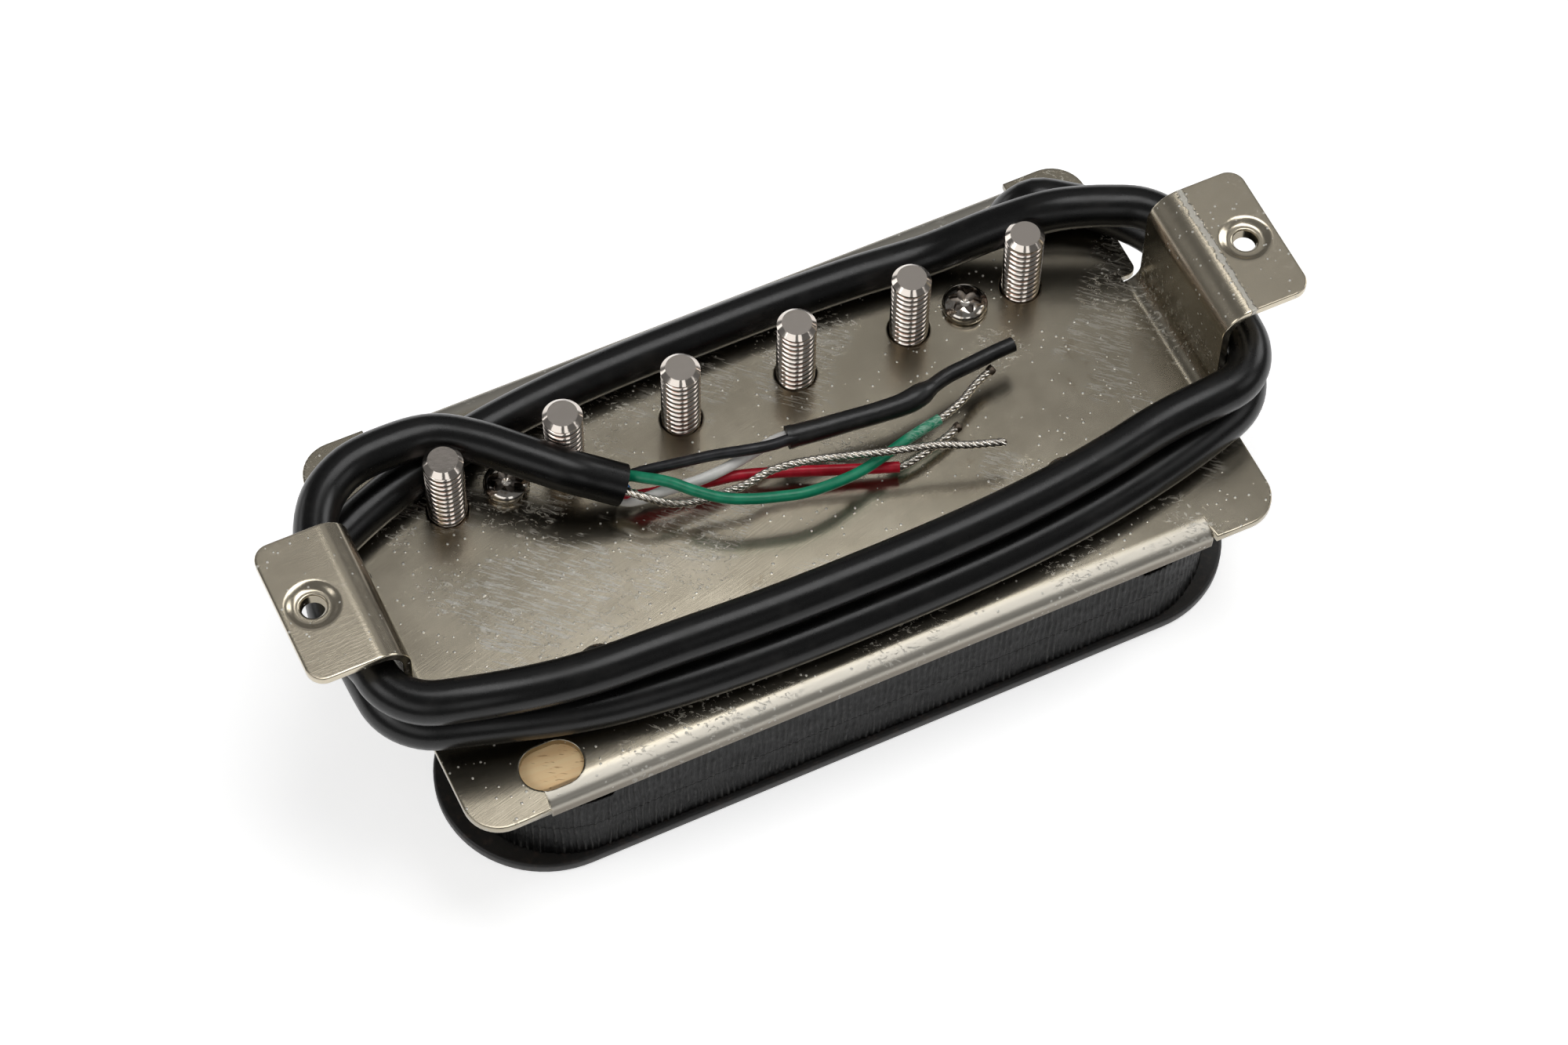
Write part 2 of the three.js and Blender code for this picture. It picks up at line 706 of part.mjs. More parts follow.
// Free stretches of the lead: out of the oval hole to the winding, and from its end to the cut
const stretchGap = new THREE.Vector3(0, seat, 0);
const windingStart = winding[0].clone().add(stretchGap);
const windingEnd = winding[winding.length - 1].clone().add(stretchGap);
const overOval = new THREE.Vector3(ovalX, ovalY, plateTop);
const betweenPoles = new THREE.Vector3(firstPoleX + polePitch / 2, rowY, plateTop);
const exitRoute = [
  ...offsets(overOval, [
    [-0.4, 0, -3.3], [-0.4, 0, -1.7], [-0.1, 0, 0], [0.6, -0.1, 1.8], [2.2, -0.6, 2.75],
    [4.6, -1.85, 2.3], [6.7, -3.35, 1.95],
  ]),
  ...offsets(windingStart, [[-1.6, 4.75, 0.04], [-0.5, 2.95, 0], [-0.05, 1.45, 0]]),
  windingStart,
];
const tailRoute = [
  windingEnd,
  ...offsets(windingEnd, [
    [-0.05, 1.2, 0], [0.1, 2.9, 0], [0.8, 4.8, 0], [2.4, 6.3, 0], [5.3, 7.6, 0],
  ]),
  ...offsets(betweenPoles, [
    [-8.2, 3.95, 5.5], [-4.6, 3.75, 5.3], [-1.5, 1.6, 5.2], [0.8, -0.55, 5], [4.1, -3.5, 4.45],
    [6.1, -4.75, 3.2], [7.6, -5.45, 2.9],
  ]),
];
const cut = tailRoute[tailRoute.length - 1];
add('cable_exit', stretch('cable_exit', exitRoute, leadDiameter), jacket);
add('cable_tail', stretch('cable_tail', tailRoute, leadDiameter), jacket);

// Wires that leave the cut end of the lead over the plate
const wireRoutes = {
  green: [
    [0.5, 0.3, 0.6], [1.5, -0.5, 0.9], [3.1, -1.85, 1.15], [4.75, -3.5, 1.05], [6.4, -4.85, 0.95],
    [8.35, -5.75, 0.8], [10.35, -6.4, 0.7], [12.4, -6.9, 0.6], [14.8, -6.9, 0.3],
    [17.3, -6.5, -0.25], [20, -5.8, -0.5], [22.7, -5, -0.7], [25.3, -4.5, -0.7],
  ],
  red: [
    [0.3, -0.4, -0.35], [1.5, -0.45, -0.5], [3.1, -0.85, -0.7], [4.5, -1.45, -0.9],
    [6.6, -1.9, -1.1], [8.8, -2.25, -1.2], [11.85, -3.2, -1.4], [14.8, -4.4, -1.4],
    [17.8, -5.5, -1.6], [20.8, -6.6, -1.7],
  ],
  black: [
    [0.7, 0.8, -0.3], [1.9, 0.55, 0], [4, 0, 0.3], [7.2, -0.8, 0.7], [10.2, -1.75, 1],
    [11.9, -2, 0.85], [13.2, -2, 0.7],
  ],
  white: [
    [0, -0.85, -1.05], [1.1, -1.6, -0.3], [2.9, -1.85, 0.05], [5.4, -2.05, 0], [7.8, -1.9, -0.1],
    [10.4, -1.4, -0.3], [12.1, -1.1, -0.3], [13.3, -1.15, -0.1],
  ],
};
for (const [colour, route] of Object.entries(wireRoutes)) {
  const name = `wire_${colour}`;
  add(name, stretch(name, offsets(cut, route), wireDiameter), insulation[colour]);
}

const drainRoute = [
  [-0.2, -0.9, 0.7], [0.8, -2, 0.8], [2.6, -3, 0], [4.8, -3.5, -0.4], [6.9, -3.8, -0.2],
  [8.7, -4, 0.1], [10.6, -3.8, 0.3], [12.4, -4, 0.5], [14.5, -4.5, 0.6], [16.9, -5.3, 0.7],
  [19.7, -6.2, 0.7], [21.8, -6.8, 0.7], [23.8, -7.4, 0.7], [25.8, -8.2, 0.5], [28.7, -9.1, 0.3],
];
add('drain_wire', stretch('drain_wire', offsets(cut, drainRoute), bareDiameter), tinned);

// Bare strands past the insulation, each ending in a blob of solder
function strand(name, route) {
  const end = route[route.length - 1];
  const blob = new THREE.SphereGeometry(solderDiameter / 2, 8, 6).translate(end.x, end.y, end.z);
  return solid(stretch(name, route, bareDiameter)).add(solid(blob));
}
const strandRoutes = {
  green: [[25.6, -4.42, -0.7], [27.7, -3.7, -0.7], [29.3, -2.8, -0.7], [31, -2.1, -0.7]],
  red: [
    [21.1, -6.65, -1.68], [22.5, -6.5, -1.6], [24.1, -6.1, -1.6], [25.5, -5.7, -1.6], [26.5, -5.3, -1.6],
  ],
};
for (const [colour, route] of Object.entries(strandRoutes)) {
  const name = `${colour}_strand`;
  add(name, strand(name, offsets(cut, route)), tinned);
}

// Heat-shrink sleeve over the joined black and white wires, with a step where its lining ends
const sleeveRoute = [
  [13.6, -1.6, 0.3], [15.7, -1.9, 0.3], [18.4, -2.2, 0.3], [21.1, -2.5, 0.3], [23.4, -2.6, 0.3],
  [25, -2.3, 0.3],
];
const sleeveEndRoute = [
  [24.5, -2.44, 0.3], [25, -2.3, 0.3], [27.3, -1.7, 0.3], [29.4, -1.5, 0.3], [31.5, -1.3, 0.3],
  [33.4, -1.2, 0.3],
];
const sleeve = solid(stretch('heat_shrink', offsets(cut, sleeveRoute), sleeveDiameter));
const sleeveEnd = solid(stretch('heat_shrink_end', offsets(cut, sleeveEndRoute), sleeveEndDiameter));
add('heat_shrink', sleeve.add(sleeveEnd), insulation.black);

const leadLength = lengths.cable_exit + lengths.cable_winding + lengths.cable_tail + 2 * seat;
console.log(`lead: ${leadLength.toFixed(1)} mm from its inner end to the cut`);

export default pickup;
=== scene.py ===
import math

import bmesh
import bpy
import numpy as np
from mathutils import Matrix, Vector, geometry


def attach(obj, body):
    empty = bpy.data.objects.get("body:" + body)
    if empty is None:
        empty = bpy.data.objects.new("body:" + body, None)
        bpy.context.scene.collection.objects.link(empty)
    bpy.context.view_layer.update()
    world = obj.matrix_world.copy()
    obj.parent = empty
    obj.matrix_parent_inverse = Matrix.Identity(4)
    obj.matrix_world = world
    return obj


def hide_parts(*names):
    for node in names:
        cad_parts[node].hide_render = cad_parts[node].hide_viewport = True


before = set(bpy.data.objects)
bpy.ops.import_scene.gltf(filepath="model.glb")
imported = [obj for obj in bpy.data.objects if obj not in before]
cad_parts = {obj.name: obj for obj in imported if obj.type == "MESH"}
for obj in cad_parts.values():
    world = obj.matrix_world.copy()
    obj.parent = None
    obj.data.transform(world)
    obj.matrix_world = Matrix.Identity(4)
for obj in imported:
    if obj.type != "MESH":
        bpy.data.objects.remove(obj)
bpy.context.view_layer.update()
mm = 0.001

# Camera, table and lamps.
# The pickup lies face down on a plain white table. A long lens looks at it from the front
# left, steeply from above, and large soft lamps stand round it.
azimuth, elevation, roll = (math.radians(angle) for angle in (-26.469, 58.861, 1.329))
view_distance, view_right, view_up = 350.406 * mm, -0.268 * mm, -3.651 * mm
view_middle = Vector((0, 0, 14 * mm))
focal_pixels, photo_width = 5700.865, 2000

back = Vector((
    math.sin(azimuth) * math.cos(elevation),
    -math.cos(azimuth) * math.cos(elevation),
    math.sin(elevation),
))
level = Vector((0, 0, 1)).cross(back).normalized()
upright = back.cross(level)
right = math.cos(roll) * level + math.sin(roll) * upright
up = math.cos(roll) * upright - math.sin(roll) * level


def placed(name, data):
    """A new object in the scene"""
    made = bpy.data.objects.new(name, data)
    bpy.context.scene.collection.objects.link(made)
    return made


camera = placed("camera", bpy.data.cameras.new("camera"))
camera.data.sensor_width = 36
camera.data.lens = focal_pixels / photo_width * camera.data.sensor_width
camera.data.clip_start, camera.data.clip_end = 10 * mm, 20
camera.matrix_world = Matrix((right, up, back)).transposed().to_4x4()
camera.location = view_middle + back * view_distance + right * view_right + up * view_up
bpy.context.scene.camera = camera
bpy.context.scene.view_settings.view_transform = "Standard"


class Field:
    """A socket of a node tree. Arithmetic on fields adds the matching Math nodes."""

    def __init__(self, tree, socket=None):
        self.tree = tree
        self.socket = socket

    def node(self, kind, inputs=None, output=0, **settings):
        """Adds a node: its settings first, then the values or links of its sockets"""
        own = "GeometryNode" + kind
        known = self.tree.type == "GEOMETRY" and hasattr(bpy.types, own)
        made = self.tree.nodes.new(own if known else "ShaderNode" + kind)
        for name, value in settings.items():
            setattr(made, name, value)
        for name, value in (inputs or {}).items():
            if isinstance(value, Field):
                self.tree.links.new(value.socket, made.inputs[name])
            else:
                made.inputs[name].default_value = value
        return Field(self.tree, made.outputs[output])

    def math(self, operation, *others):
        return self.node("Math", dict(enumerate((self, *others))), operation=operation)

    def vector(self, operation, other):
        return self.node("VectorMath", {0: self, 1: other}, operation=operation)

    def scaled(self, factor):
        """This vector times one factor"""
        return self.node("VectorMath", {0: self, "Scale": factor}, operation="SCALE")

    def __add__(self, other):
        return self.math("ADD", other)

    def __sub__(self, other):
        return self.math("SUBTRACT", other)

    def __rsub__(self, other):
        return self.math("MULTIPLY_ADD", -1, other)

    def __mul__(self, other):
        return self.math("MULTIPLY", other)

    def __truediv__(self, other):
        return self.math("DIVIDE", other)

    def __pow__(self, other):
        return self.math("POWER", other)

    __radd__, __rmul__ = __add__, __mul__

    def step(self, low, high):
        """0 below low and 1 above high, smooth between"""
        return self.node("MapRange", {0: self, 1: low, 2: high}, interpolation_type="SMOOTHSTEP")

    def part(self, axis):
        """One number of a vector: 0, 1 or 2 for X, Y or Z"""
        return self.node("SeparateXYZ", {0: self}, axis)

    def mix(self, first, second):
        """Between two colours, by this field"""
        inputs = {0: self, 6: first, 7: second}
        return self.node("Mix", inputs, 2, data_type="RGBA", clamp_factor=True)

    def spread(self, scale, turn=0.0):
        """This place with its axes scaled, after a turn about Z"""
        turned = self.node("Mapping", {0: self, "Rotation": (0, 0, turn)})
        return turned.vector("MULTIPLY", scale)

    def grain(self, scale, detail=2.0, roughness=0.5, distortion=0.0):
        """Noise with this many grains a millimetre"""
        inputs = {0: self, "Scale": scale, "Detail": detail, "Roughness": roughness,
                  "Distortion": distortion}
        return self.node("TexNoise", inputs)

    def kept(self, name, value):
        """This geometry with a value stored at each of its points"""
        inputs = {0: self, "Name": name, "Value": value}
        return self.node("StoreNamedAttribute", inputs, data_type="FLOAT")

    def moved(self, offset):
        """This geometry with its points moved"""
        return self.node("SetPosition", {0: self, "Offset": offset})


def shade(red, green, blue):
    """A colour given as it is seen, in 0 to 255"""
    values = (value / 255 for value in (red, green, blue))
    return (*(v / 12.92 if v < 0.04 else ((v + 0.055) / 1.055) ** 2.4 for v in values), 1)


def finish(name, **constants):
    """A material, its first field, which is the place in millimetres, and its shader"""
    material = bpy.data.materials.new(name)
    material.use_nodes = True
    tree = material.node_tree
    shader = tree.nodes["Principled BSDF"]
    for socket, value in constants.items():
        shader.inputs[socket.replace("_", " ")].default_value = value
    place = Field(tree).node("TexCoord", output="Object")
    return material, place.scaled(1 / mm), shader


def link(shader, **fields):
    for socket, field in fields.items():
        field.tree.links.new(field.socket, shader.inputs[socket.replace("_", " ")])


def relief(shader, height, depth, strength=1.0):
    """Bump from a height field, whose 0 and 1 lie this many millimetres apart"""
    inputs = {"Height": height, "Distance": depth * mm, "Strength": strength}
    link(shader, Normal=height.node("Bump", inputs))


def show(name, data, material, nodes=(), body="pickup"):
    """Puts a mesh or curve into the scene as one piece that stands for CAD nodes"""
    data.name = name
    data.materials.clear()
    data.materials.append(material)
    piece = placed(name, data)
    if body:
        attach(piece, body)
    if nodes:
        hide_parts(*nodes)
    return piece


def woven(vertices, faces):
    """A smooth-shaded mesh from corners in millimetres"""
    mesh = bpy.data.meshes.new("mesh")
    mesh.from_pydata([Vector(vertex) * mm for vertex in vertices], [], faces)
    mesh.polygons.foreach_set("use_smooth", [True] * len(mesh.polygons))
    return mesh


table_half = 3000
table_z = -0.05
table_lit, table_mirrored = (0.8, 0.8, 0.8, 1), (0.1, 0.1, 0.1, 1)
table_white, place, shader = finish("table_white", Roughness=0.7)
shader.inputs["Emission Color"].default_value = (1, 1, 1, 1)
camera_rays = place.node("LightPath", output="Is Camera Ray")
mirror_rays = place.node("LightPath", output="Is Glossy Ray")
mirror_rays += place.node("LightPath", output="Is Transmission Ray")
far = ((place.part(0) ** 2 + place.part(1) ** 2) ** 0.5).step(120, 240)
link(shader, Base_Color=(far * (1 - camera_rays)).mix(table_lit, table_mirrored),
     Emission_Strength=(camera_rays + mirror_rays * (1 - far)) * 0.6)
corners = [(x * table_half, y * table_half, table_z)
           for x, y in ((-1, -1), (1, -1), (1, 1), (-1, 1))]
table = show("table", woven(corners, [(0, 1, 2, 3)]), table_white, body=None)

world = bpy.data.worlds.new("studio")
world.use_nodes = True
world.node_tree.nodes["Background"].inputs["Color"].default_value = (1, 1, 1, 1)
world.node_tree.nodes["Background"].inputs["Strength"].default_value = 0.14
bpy.context.scene.world = world


def lamp(name, place, size, radiance):
    """A soft lamp: a glowing panel that faces the pickup"""
    data = bpy.data.lights.new(name, "AREA")
    data.shape = "RECTANGLE"
    data.size, data.size_y = (side * mm for side in size)
    data.energy = radiance * math.pi * data.size * data.size_y
    panel = placed(name, data)
    panel.location = Vector(place) * mm
    panel.rotation_euler = (view_middle - panel.location).to_track_quat("-Z", "Y").to_euler()


lamp("lamp_above", (120, 62, 600), (380, 240), 3.8)
lamp("lamp_behind", (230, 540, 560), (560, 440), 0.19)
lamp("lamp_back_left", (-420, 560, 120), (300, 160), 1.6)
lamp("lamp_left", (-436, -283, 352), (480, 270), 1.2)
lamp("lamp_front", (-70, -515, 352), (170, 270), 1.2)
lamp("lamp_front_right", (426, -298, 352), (220, 270), 1.2)
lamp("lamp_high_left", (-540, 60, 420), (320, 280), 2.4)
lamp("lamp_right", (580, 80, 360), (320, 280), 3.4)

# The lead.
# A four-conductor lead with a satin black jacket comes out of the oval hole in the plate, lies
# one and a half turns round the two legs and ends, cut, over the plate.
plate_top = 12.9
lead_diameter = 3.45
lead_radius = lead_diameter / 2
turn_pitch = 3.86
low_z = plate_top + lead_radius + 0.06
high_z = low_z + turn_pitch
leg_span = 70.0
leg_shift = -0.45
wrap_radius = 4.9
wrap_spread = 10.2
outside_x = leg_span / 2 + lead_radius + 0.3
wrap_x = outside_x - wrap_radius
lean, leg_roll = 64, 26
left_bulge, left_lift = 1.0, 0.2
corner_lift = 1.2


def smooth(value, start, end):
    share = min(max((value - start) / (end - start), 0), 1)
    return share * share * (3 - 2 * share)


def bow(angle, power):
    """One side's bow: its slope at the arcs, its half length and its distance at x"""
    slope = math.radians(angle)
    end_x = wrap_x + wrap_radius * math.sin(slope)
    end_y = wrap_spread / 2 + wrap_radius * math.cos(slope)
    depth = end_x * math.tan(slope) / power
    return slope, end_x, lambda x: end_y + depth * (1 - abs(x / end_x) ** power)


front_slope, front_x, front_at = bow(17.5, 2.6)
back_slope, back_x, back_at = bow(26, 3)


def corner_arc(side_x, side_y, slope, z, steps=6):
    """Points round one corner of a leg, from the bow's end to the straight outside"""
    angles = [slope + (math.pi / 2 - slope) * (step + 1) / steps for step in range(steps)]
    return [(side_x * (wrap_x + wrap_radius * math.sin(angle)),
             leg_shift + side_y * (wrap_spread / 2 + wrap_radius * math.cos(angle)), z)
            for angle in angles]


def front_turn(steps=28):
    """Along the front, from beside the right leg to beside the left"""
    run = []
    for step in range(steps + 1):
        x = front_x * math.cos(step * math.pi / steps)
        run.append((x, leg_shift - front_at(x), low_z))
    right = corner_arc(1, -1, front_slope, low_z)[::-1]
    return [*right, *run, *corner_arc(-1, -1, front_slope, low_z)]


def leaning(points):
    """A second turn that leans on the first, and rolls up onto it at the legs"""
    turned = []
    for before, (x, y, z), after in zip(points[:1] + points, points, points[1:] + points[-1:]):
        along = (Vector(after) - Vector(before)).normalized()
        at_leg = max(smooth(-x, 12, front_x), smooth(x, 26, outside_x))
        tilt = math.radians(lean + leg_roll * at_leg)
        beside = turn_pitch * math.cos(tilt)
        turned.append((x + along.y * beside, y - along.x * beside, z + turn_pitch * math.sin(tilt)))
    return turned


def back_run(steps=16):
    """Along the back, climbing to the second turn at the right"""
    points = []
    for step in range(steps + 1):
        x = -back_x * math.cos(step * math.pi / steps)
        z = low_z + turn_pitch * smooth(x, 17, 31)
        points.append((x, leg_shift + back_at(x), z))
    return points


def through(points, spacing):
    """Points this far apart on a smooth curve through the given ones"""
    points = [Vector(point) for point in points]
    points = [2 * points[0] - points[1], *points, 2 * points[-1] - points[-2]]
    fine = []
    for a, b, c, d in zip(points, points[1:], points[2:], points[3:]):
        ab, bc, cd = (math.sqrt((q - p).length) for p, q in ((a, b), (b, c), (c, d)))
        leave = ((b - a) / ab - (c - a) / (ab + bc) + (c - b) / bc) * bc
        reach_c = ((c - b) / bc - (d - b) / (bc + cd) + (d - c) / cd) * bc
        count = max(2, math.ceil((c - b).length / spacing))
        for step in range(count):
            t = step / count
            fine.append(b * (2 * t ** 3 - 3 * t ** 2 + 1) + leave * (t ** 3 - 2 * t ** 2 + t)
                        + c * (3 * t ** 2 - 2 * t ** 3) + reach_c * (t ** 3 - t ** 2))
    return [*fine, points[-2]]


def strand(points, diameter, swell=None, sides=5):
    """A round curve along points; swell gives its share of the diameter at each point"""
    data = bpy.data.curves.new("strand", "CURVE")
    data.dimensions = "3D"
    data.bevel_depth = diameter / 2 * mm
    data.bevel_resolution = sides
    data.use_fill_caps = True
    spline = data.splines.new("POLY")
    spline.points.add(len(points) - 1)
    for index, (made, point) in enumerate(zip(spline.points, points)):
        made.co = (*(point * mm), 1)
        made.radius = swell[index] if swell else 1
    return data


exit_route = [
    (26.5, 15.1, 9.6), (26.5, 15.1, 11.2), (26.8, 15.1, 12.9), (27.6, 14.95, 14.5),
    (29.1, 14.5, 15.6), (31.5, 13.25, 15.2), (33.6, 11.75, 14.85), (35.4, 9.7, 14.7),
    (36.5, 7.9, 14.68), (36.95, 6.4, 14.68),
]
tail_route = [
    (-36.75, 6.2, 18.5), (-36.25, 8.0, 18.5), (-35.35, 9.75, 18.5), (-34.1, 11.2, 18.5),
    (-31.7, 12.55, 18.5), (-28.3, 13.0, 18.4), (-24.6, 12.65, 18.2), (-21.6, 10.65, 18.1),
    (-19.3, 8.5, 17.9), (-16.0, 5.6, 17.35), (-14.2, 4.57, 16.58), (-12.5, 3.6, 15.85),
]
straight_end = leg_shift + wrap_spread / 2
lead_route = [
    *exit_route,
    (outside_x, straight_end, low_z),
    *front_turn(),
    *corner_arc(-1, 1, back_slope, low_z)[::-1],
    *back_run(),
    *corner_arc(1, 1, back_slope, high_z),
    *leaning(front_turn()),
    (-outside_x - left_bulge, leg_shift, high_z + left_lift),
    (-outside_x, straight_end, high_z),
    *tail_route,
]
lead_route = [(x, y, z + corner_lift * smooth(-x, 20, 33) * smooth(-y, -3, 7))
              for x, y, z in lead_route]
lead_points = through(lead_route, 0.7)
lead_length = sum((q - p).length for p, q in zip(lead_points, lead_points[1:]))

jacket_black, place, shader = finish("jacket_black", Specular_IOR_Level=0.38)
scuff = place.grain(0.35, 4, 0.6).step(0.48, 0.75)
link(shader, Base_Color=scuff.mix(shade(9, 9, 9), shade(22, 21, 20)),
     Roughness=0.24 + 0.09 * place.grain(2.5, 3) + 0.06 * scuff)
relief(shader, place.grain(9, 3, 0.6) * 0.4 + place.grain(0.6, 2), 0.02, 0.5)

lead = show("lead_jacket", strand(lead_points, lead_diameter, sides=9), jacket_black,
            ("cable_exit", "cable_winding", "cable_tail"))

# The four insulated wires.
# Green, red, black and white wires fan out of the cut jacket. Green and red lie over the plate
# with stripped ends, and black and white run on into the sleeve that covers their joint.
wire_diameter = 0.9
wire_routes = {
    "green": [
        (-13.4, 4.0, 16.0), (-12.0, 3.9, 16.4), (-11.0, 3.1, 16.7), (-9.4, 1.75, 16.95),
        (-7.75, 0.1, 16.85), (-6.1, -1.25, 16.75), (-4.15, -2.15, 16.6), (-2.15, -2.8, 16.5),
        (-0.1, -3.3, 16.4), (2.3, -3.3, 16.1), (4.8, -2.9, 15.55), (7.5, -2.2, 15.3),
        (10.2, -1.4, 15.1), (12.8, -0.9, 15.1),
    ],
    "red": [
        (-13.4, 3.8, 15.5), (-12.2, 3.0, 15.05), (-11.0, 2.75, 14.75), (-9.4, 2.45, 14.7),
        (-8.0, 2.3, 14.65), (-5.9, 1.75, 14.6), (-3.7, 1.35, 14.6), (-0.65, 0.4, 14.4),
        (2.3, -0.8, 14.4), (5.3, -1.9, 14.2), (8.3, -3.0, 14.1),
    ],
    "black": [
        (-13.2, 4.4, 15.6), (-11.8, 4.4, 15.5), (-10.6, 4.15, 15.8), (-8.5, 3.6, 16.1),
        (-5.3, 2.8, 16.5), (-2.3, 1.85, 16.8), (-0.6, 1.6, 16.65), (0.7, 1.6, 16.5),
        (2.2, 1.6, 16.4),
    ],
    "white": [
        (-13.4, 3.4, 14.9), (-12.5, 2.75, 14.75), (-11.4, 2.0, 15.5), (-9.6, 1.75, 15.85),
        (-7.1, 1.55, 15.8), (-4.7, 1.7, 15.7), (-2.1, 2.2, 15.5), (-0.4, 2.5, 15.5),
        (0.8, 2.45, 15.7), (2.2, 2.2, 15.9),
    ],
}
insulation = {
    "green": (shade(0, 122, 88), shade(18, 142, 104)),
    "red": (shade(176, 8, 34), shade(206, 26, 52)),
    "black": (shade(18, 18, 20), shade(34, 34, 38)),
    "white": (shade(214, 212, 208), shade(228, 226, 222)),
}
for name, route in wire_routes.items():
    plastic, place, shader = finish(f"{name}_insulation", Roughness=0.38)
    dark, light = insulation[name]
    tint = place.grain(1.1, 3).step(0.3, 0.7).mix(dark, light)
    frost = place.spread((1, 4, 4), 0.4).grain(1.6, 4, 0.7).step(0.42, 0.6)
    frost *= place.part(0).step(9.2, 10.4)
    if name == "green":
        tint = (frost * 0.45).mix(tint, shade(196, 222, 206))
    link(shader, Base_Color=tint, Roughness=0.26 + 0.2 * place.grain(6, 3) + 0.3 * frost)
    relief(shader, place.grain(7, 3, 0.6) + frost, 0.012, 0.6)
    show(f"{name}_wire", strand(through(route, 0.3), wire_diameter), plastic,
                      [f"wire_{name}"])

film_blue, place, shader = finish("film_blue", Coat_Weight=1.0)
creases = place.grain(4, 2).step(0.3, 0.7)
link(shader, Base_Color=creases.mix(shade(8, 58, 130), shade(40, 128, 196)),
     Roughness=0.12 + 0.2 * place.grain(6, 2))
film_width = 0.42
film_route = [(-13.2, 3.75, 16.1), (-12.45, 3.1, 16.45), (-12.2, 2.75, 15.9)]
show("film_end", strand(through(film_route, 0.1), film_width, sides=3), film_blue)

# Bare conductors.
# The drain wire is a twist of tinned copper threads, as are the stripped ends of the green and
# the red wire, each of which ends in a small blob of old solder.
bare_diameter = 0.68
thread_count = 5
thread_diameter = 0.28
lay_length = 2.2
drain_blob, solder_blob = 0.35, 0.8
drain_route = [
    (-13.4, 3.2, 16.0), (-12.7, 2.7, 16.5), (-11.7, 1.6, 16.6), (-9.9, 0.6, 15.8),
    (-7.7, 0.1, 15.4), (-5.6, -0.2, 15.6), (-3.8, -0.4, 15.9), (-1.9, -0.2, 16.1),
    (-0.1, -0.4, 16.3), (2.0, -0.9, 16.4), (4.4, -1.7, 16.5), (7.2, -2.6, 16.5),
    (9.3, -3.2, 16.5), (11.3, -3.8, 16.5), (13.3, -4.6, 16.3), (16.2, -5.5, 16.1),
]
stripped_routes = {
    "green": [(12.6, -0.92, 15.1), (13.1, -0.82, 15.1), (15.2, -0.1, 15.1), (16.8, 0.8, 15.1),
              (18.5, 1.5, 15.1)],
    "red": [(8.2, -3.02, 14.12), (8.6, -3.05, 14.12), (10.0, -2.9, 14.2), (11.6, -2.5, 14.2),
            (13.0, -2.1, 14.2), (14.0, -1.7, 14.2)],
}


def tree_of(name, floats, **others):
    """A geometry tree with named inputs; gives the tree and its input fields"""
    sockets = {**others, **dict.fromkeys(floats.split(), "Float")}
    tree = bpy.data.node_groups.new(name, "GeometryNodeTree")
    tree.is_modifier = True
    tree.interface.new_socket("Geometry", in_out="INPUT", socket_type="NodeSocketGeometry")
    tree.interface.new_socket("Geometry", in_out="OUTPUT", socket_type="NodeSocketGeometry")
    for socket, kind in sockets.items():
        label = socket.replace("_", " ")
        tree.interface.new_socket(label, in_out="INPUT", socket_type=f"NodeSocket{kind}")
    entry = tree.nodes.new("NodeGroupInput")
    fields = [Field(tree, entry.outputs[socket.replace("_", " ")]) for socket in sockets]
    return tree, Field(tree, entry.outputs["Geometry"]), *fields


def end_tree(made, material):
    """Ends a tree: instances made real, and the material set"""
    made = made.node("RealizeInstances", {0: made})
    made = made.node("SetMaterial", {0: made, "Material": material})
    leave = made.tree.nodes.new("NodeGroupOutput")
    made.tree.links.new(made.socket, leave.inputs[0])


def mesh_of(base):
    """The mesh that an object ends up as; the object is deleted"""
    bpy.context.view_layer.update()
    depsgraph = bpy.context.evaluated_depsgraph_get()
    mesh = bpy.data.meshes.new_from_object(base.evaluated_get(depsgraph), depsgraph=depsgraph)
    bpy.data.objects.remove(base)
    return mesh


def grown(tree, base, **values):
    """The mesh that a tree makes of a base object"""
    modifier = base.modifiers.new("growth", "NODES")
    modifier.node_group = tree
    for item in tree.interface.items_tree:
        key = item.name.replace(" ", "_")
        if item.in_out == "INPUT" and key in values:
            modifier[item.identifier] = values[key]
    return mesh_of(base)


tinned, place, shader = finish("tinned_copper", Metallic=1.0)
soldered = place.node("Attribute", output="Fac", attribute_name="soldered")
dull = place.grain(3.2, 4, 0.6).step(0.45, 0.7) * 0.7
dull = dull.math("MAXIMUM", soldered)
link(shader, Base_Color=dull.mix(shade(226, 220, 210), shade(96, 86, 76)),
     Roughness=0.16 + 0.3 * dull)
relief(shader, place.grain(14, 3), 0.012, 0.6)

twist, path, count, radius, thread, lay, end_size = tree_of(
    "twisted_threads", "Twist_Radius Thread_Radius Lay Blob_Radius", Threads="Int",
)
copies = path.node("DuplicateElements", {0: path, "Amount": count}, domain="SPLINE")
copy_index = Field(twist, copies.socket.node.outputs["Duplicate Index"])
along = path.node("SplineParameter", output="Length")
turn = (along / lay + copy_index / (count - 1)) * math.tau
normal = path.node("InputNormal")
side = path.node("InputTangent").vector("CROSS_PRODUCT", normal)
in_core = (copy_index + 1).math("COMPARE", count, 0.1)
arm = radius * (1 - in_core)
shift_up = normal.scaled(arm * turn.math("COSINE"))
shift_side = side.scaled(arm * turn.math("SINE"))
laid = copies.moved(shift_up.vector("ADD", shift_side))
ring = path.node("CurvePrimitiveCircle", {"Resolution": 8, "Radius": thread})
threads = path.node("CurveToMesh", {0: laid, 1: ring, "Fill Caps": True})
tip = path.node(
    "SampleCurve", {0: path, "Factor": 1.0}, "Position", mode="FACTOR", use_all_curves=True,
)
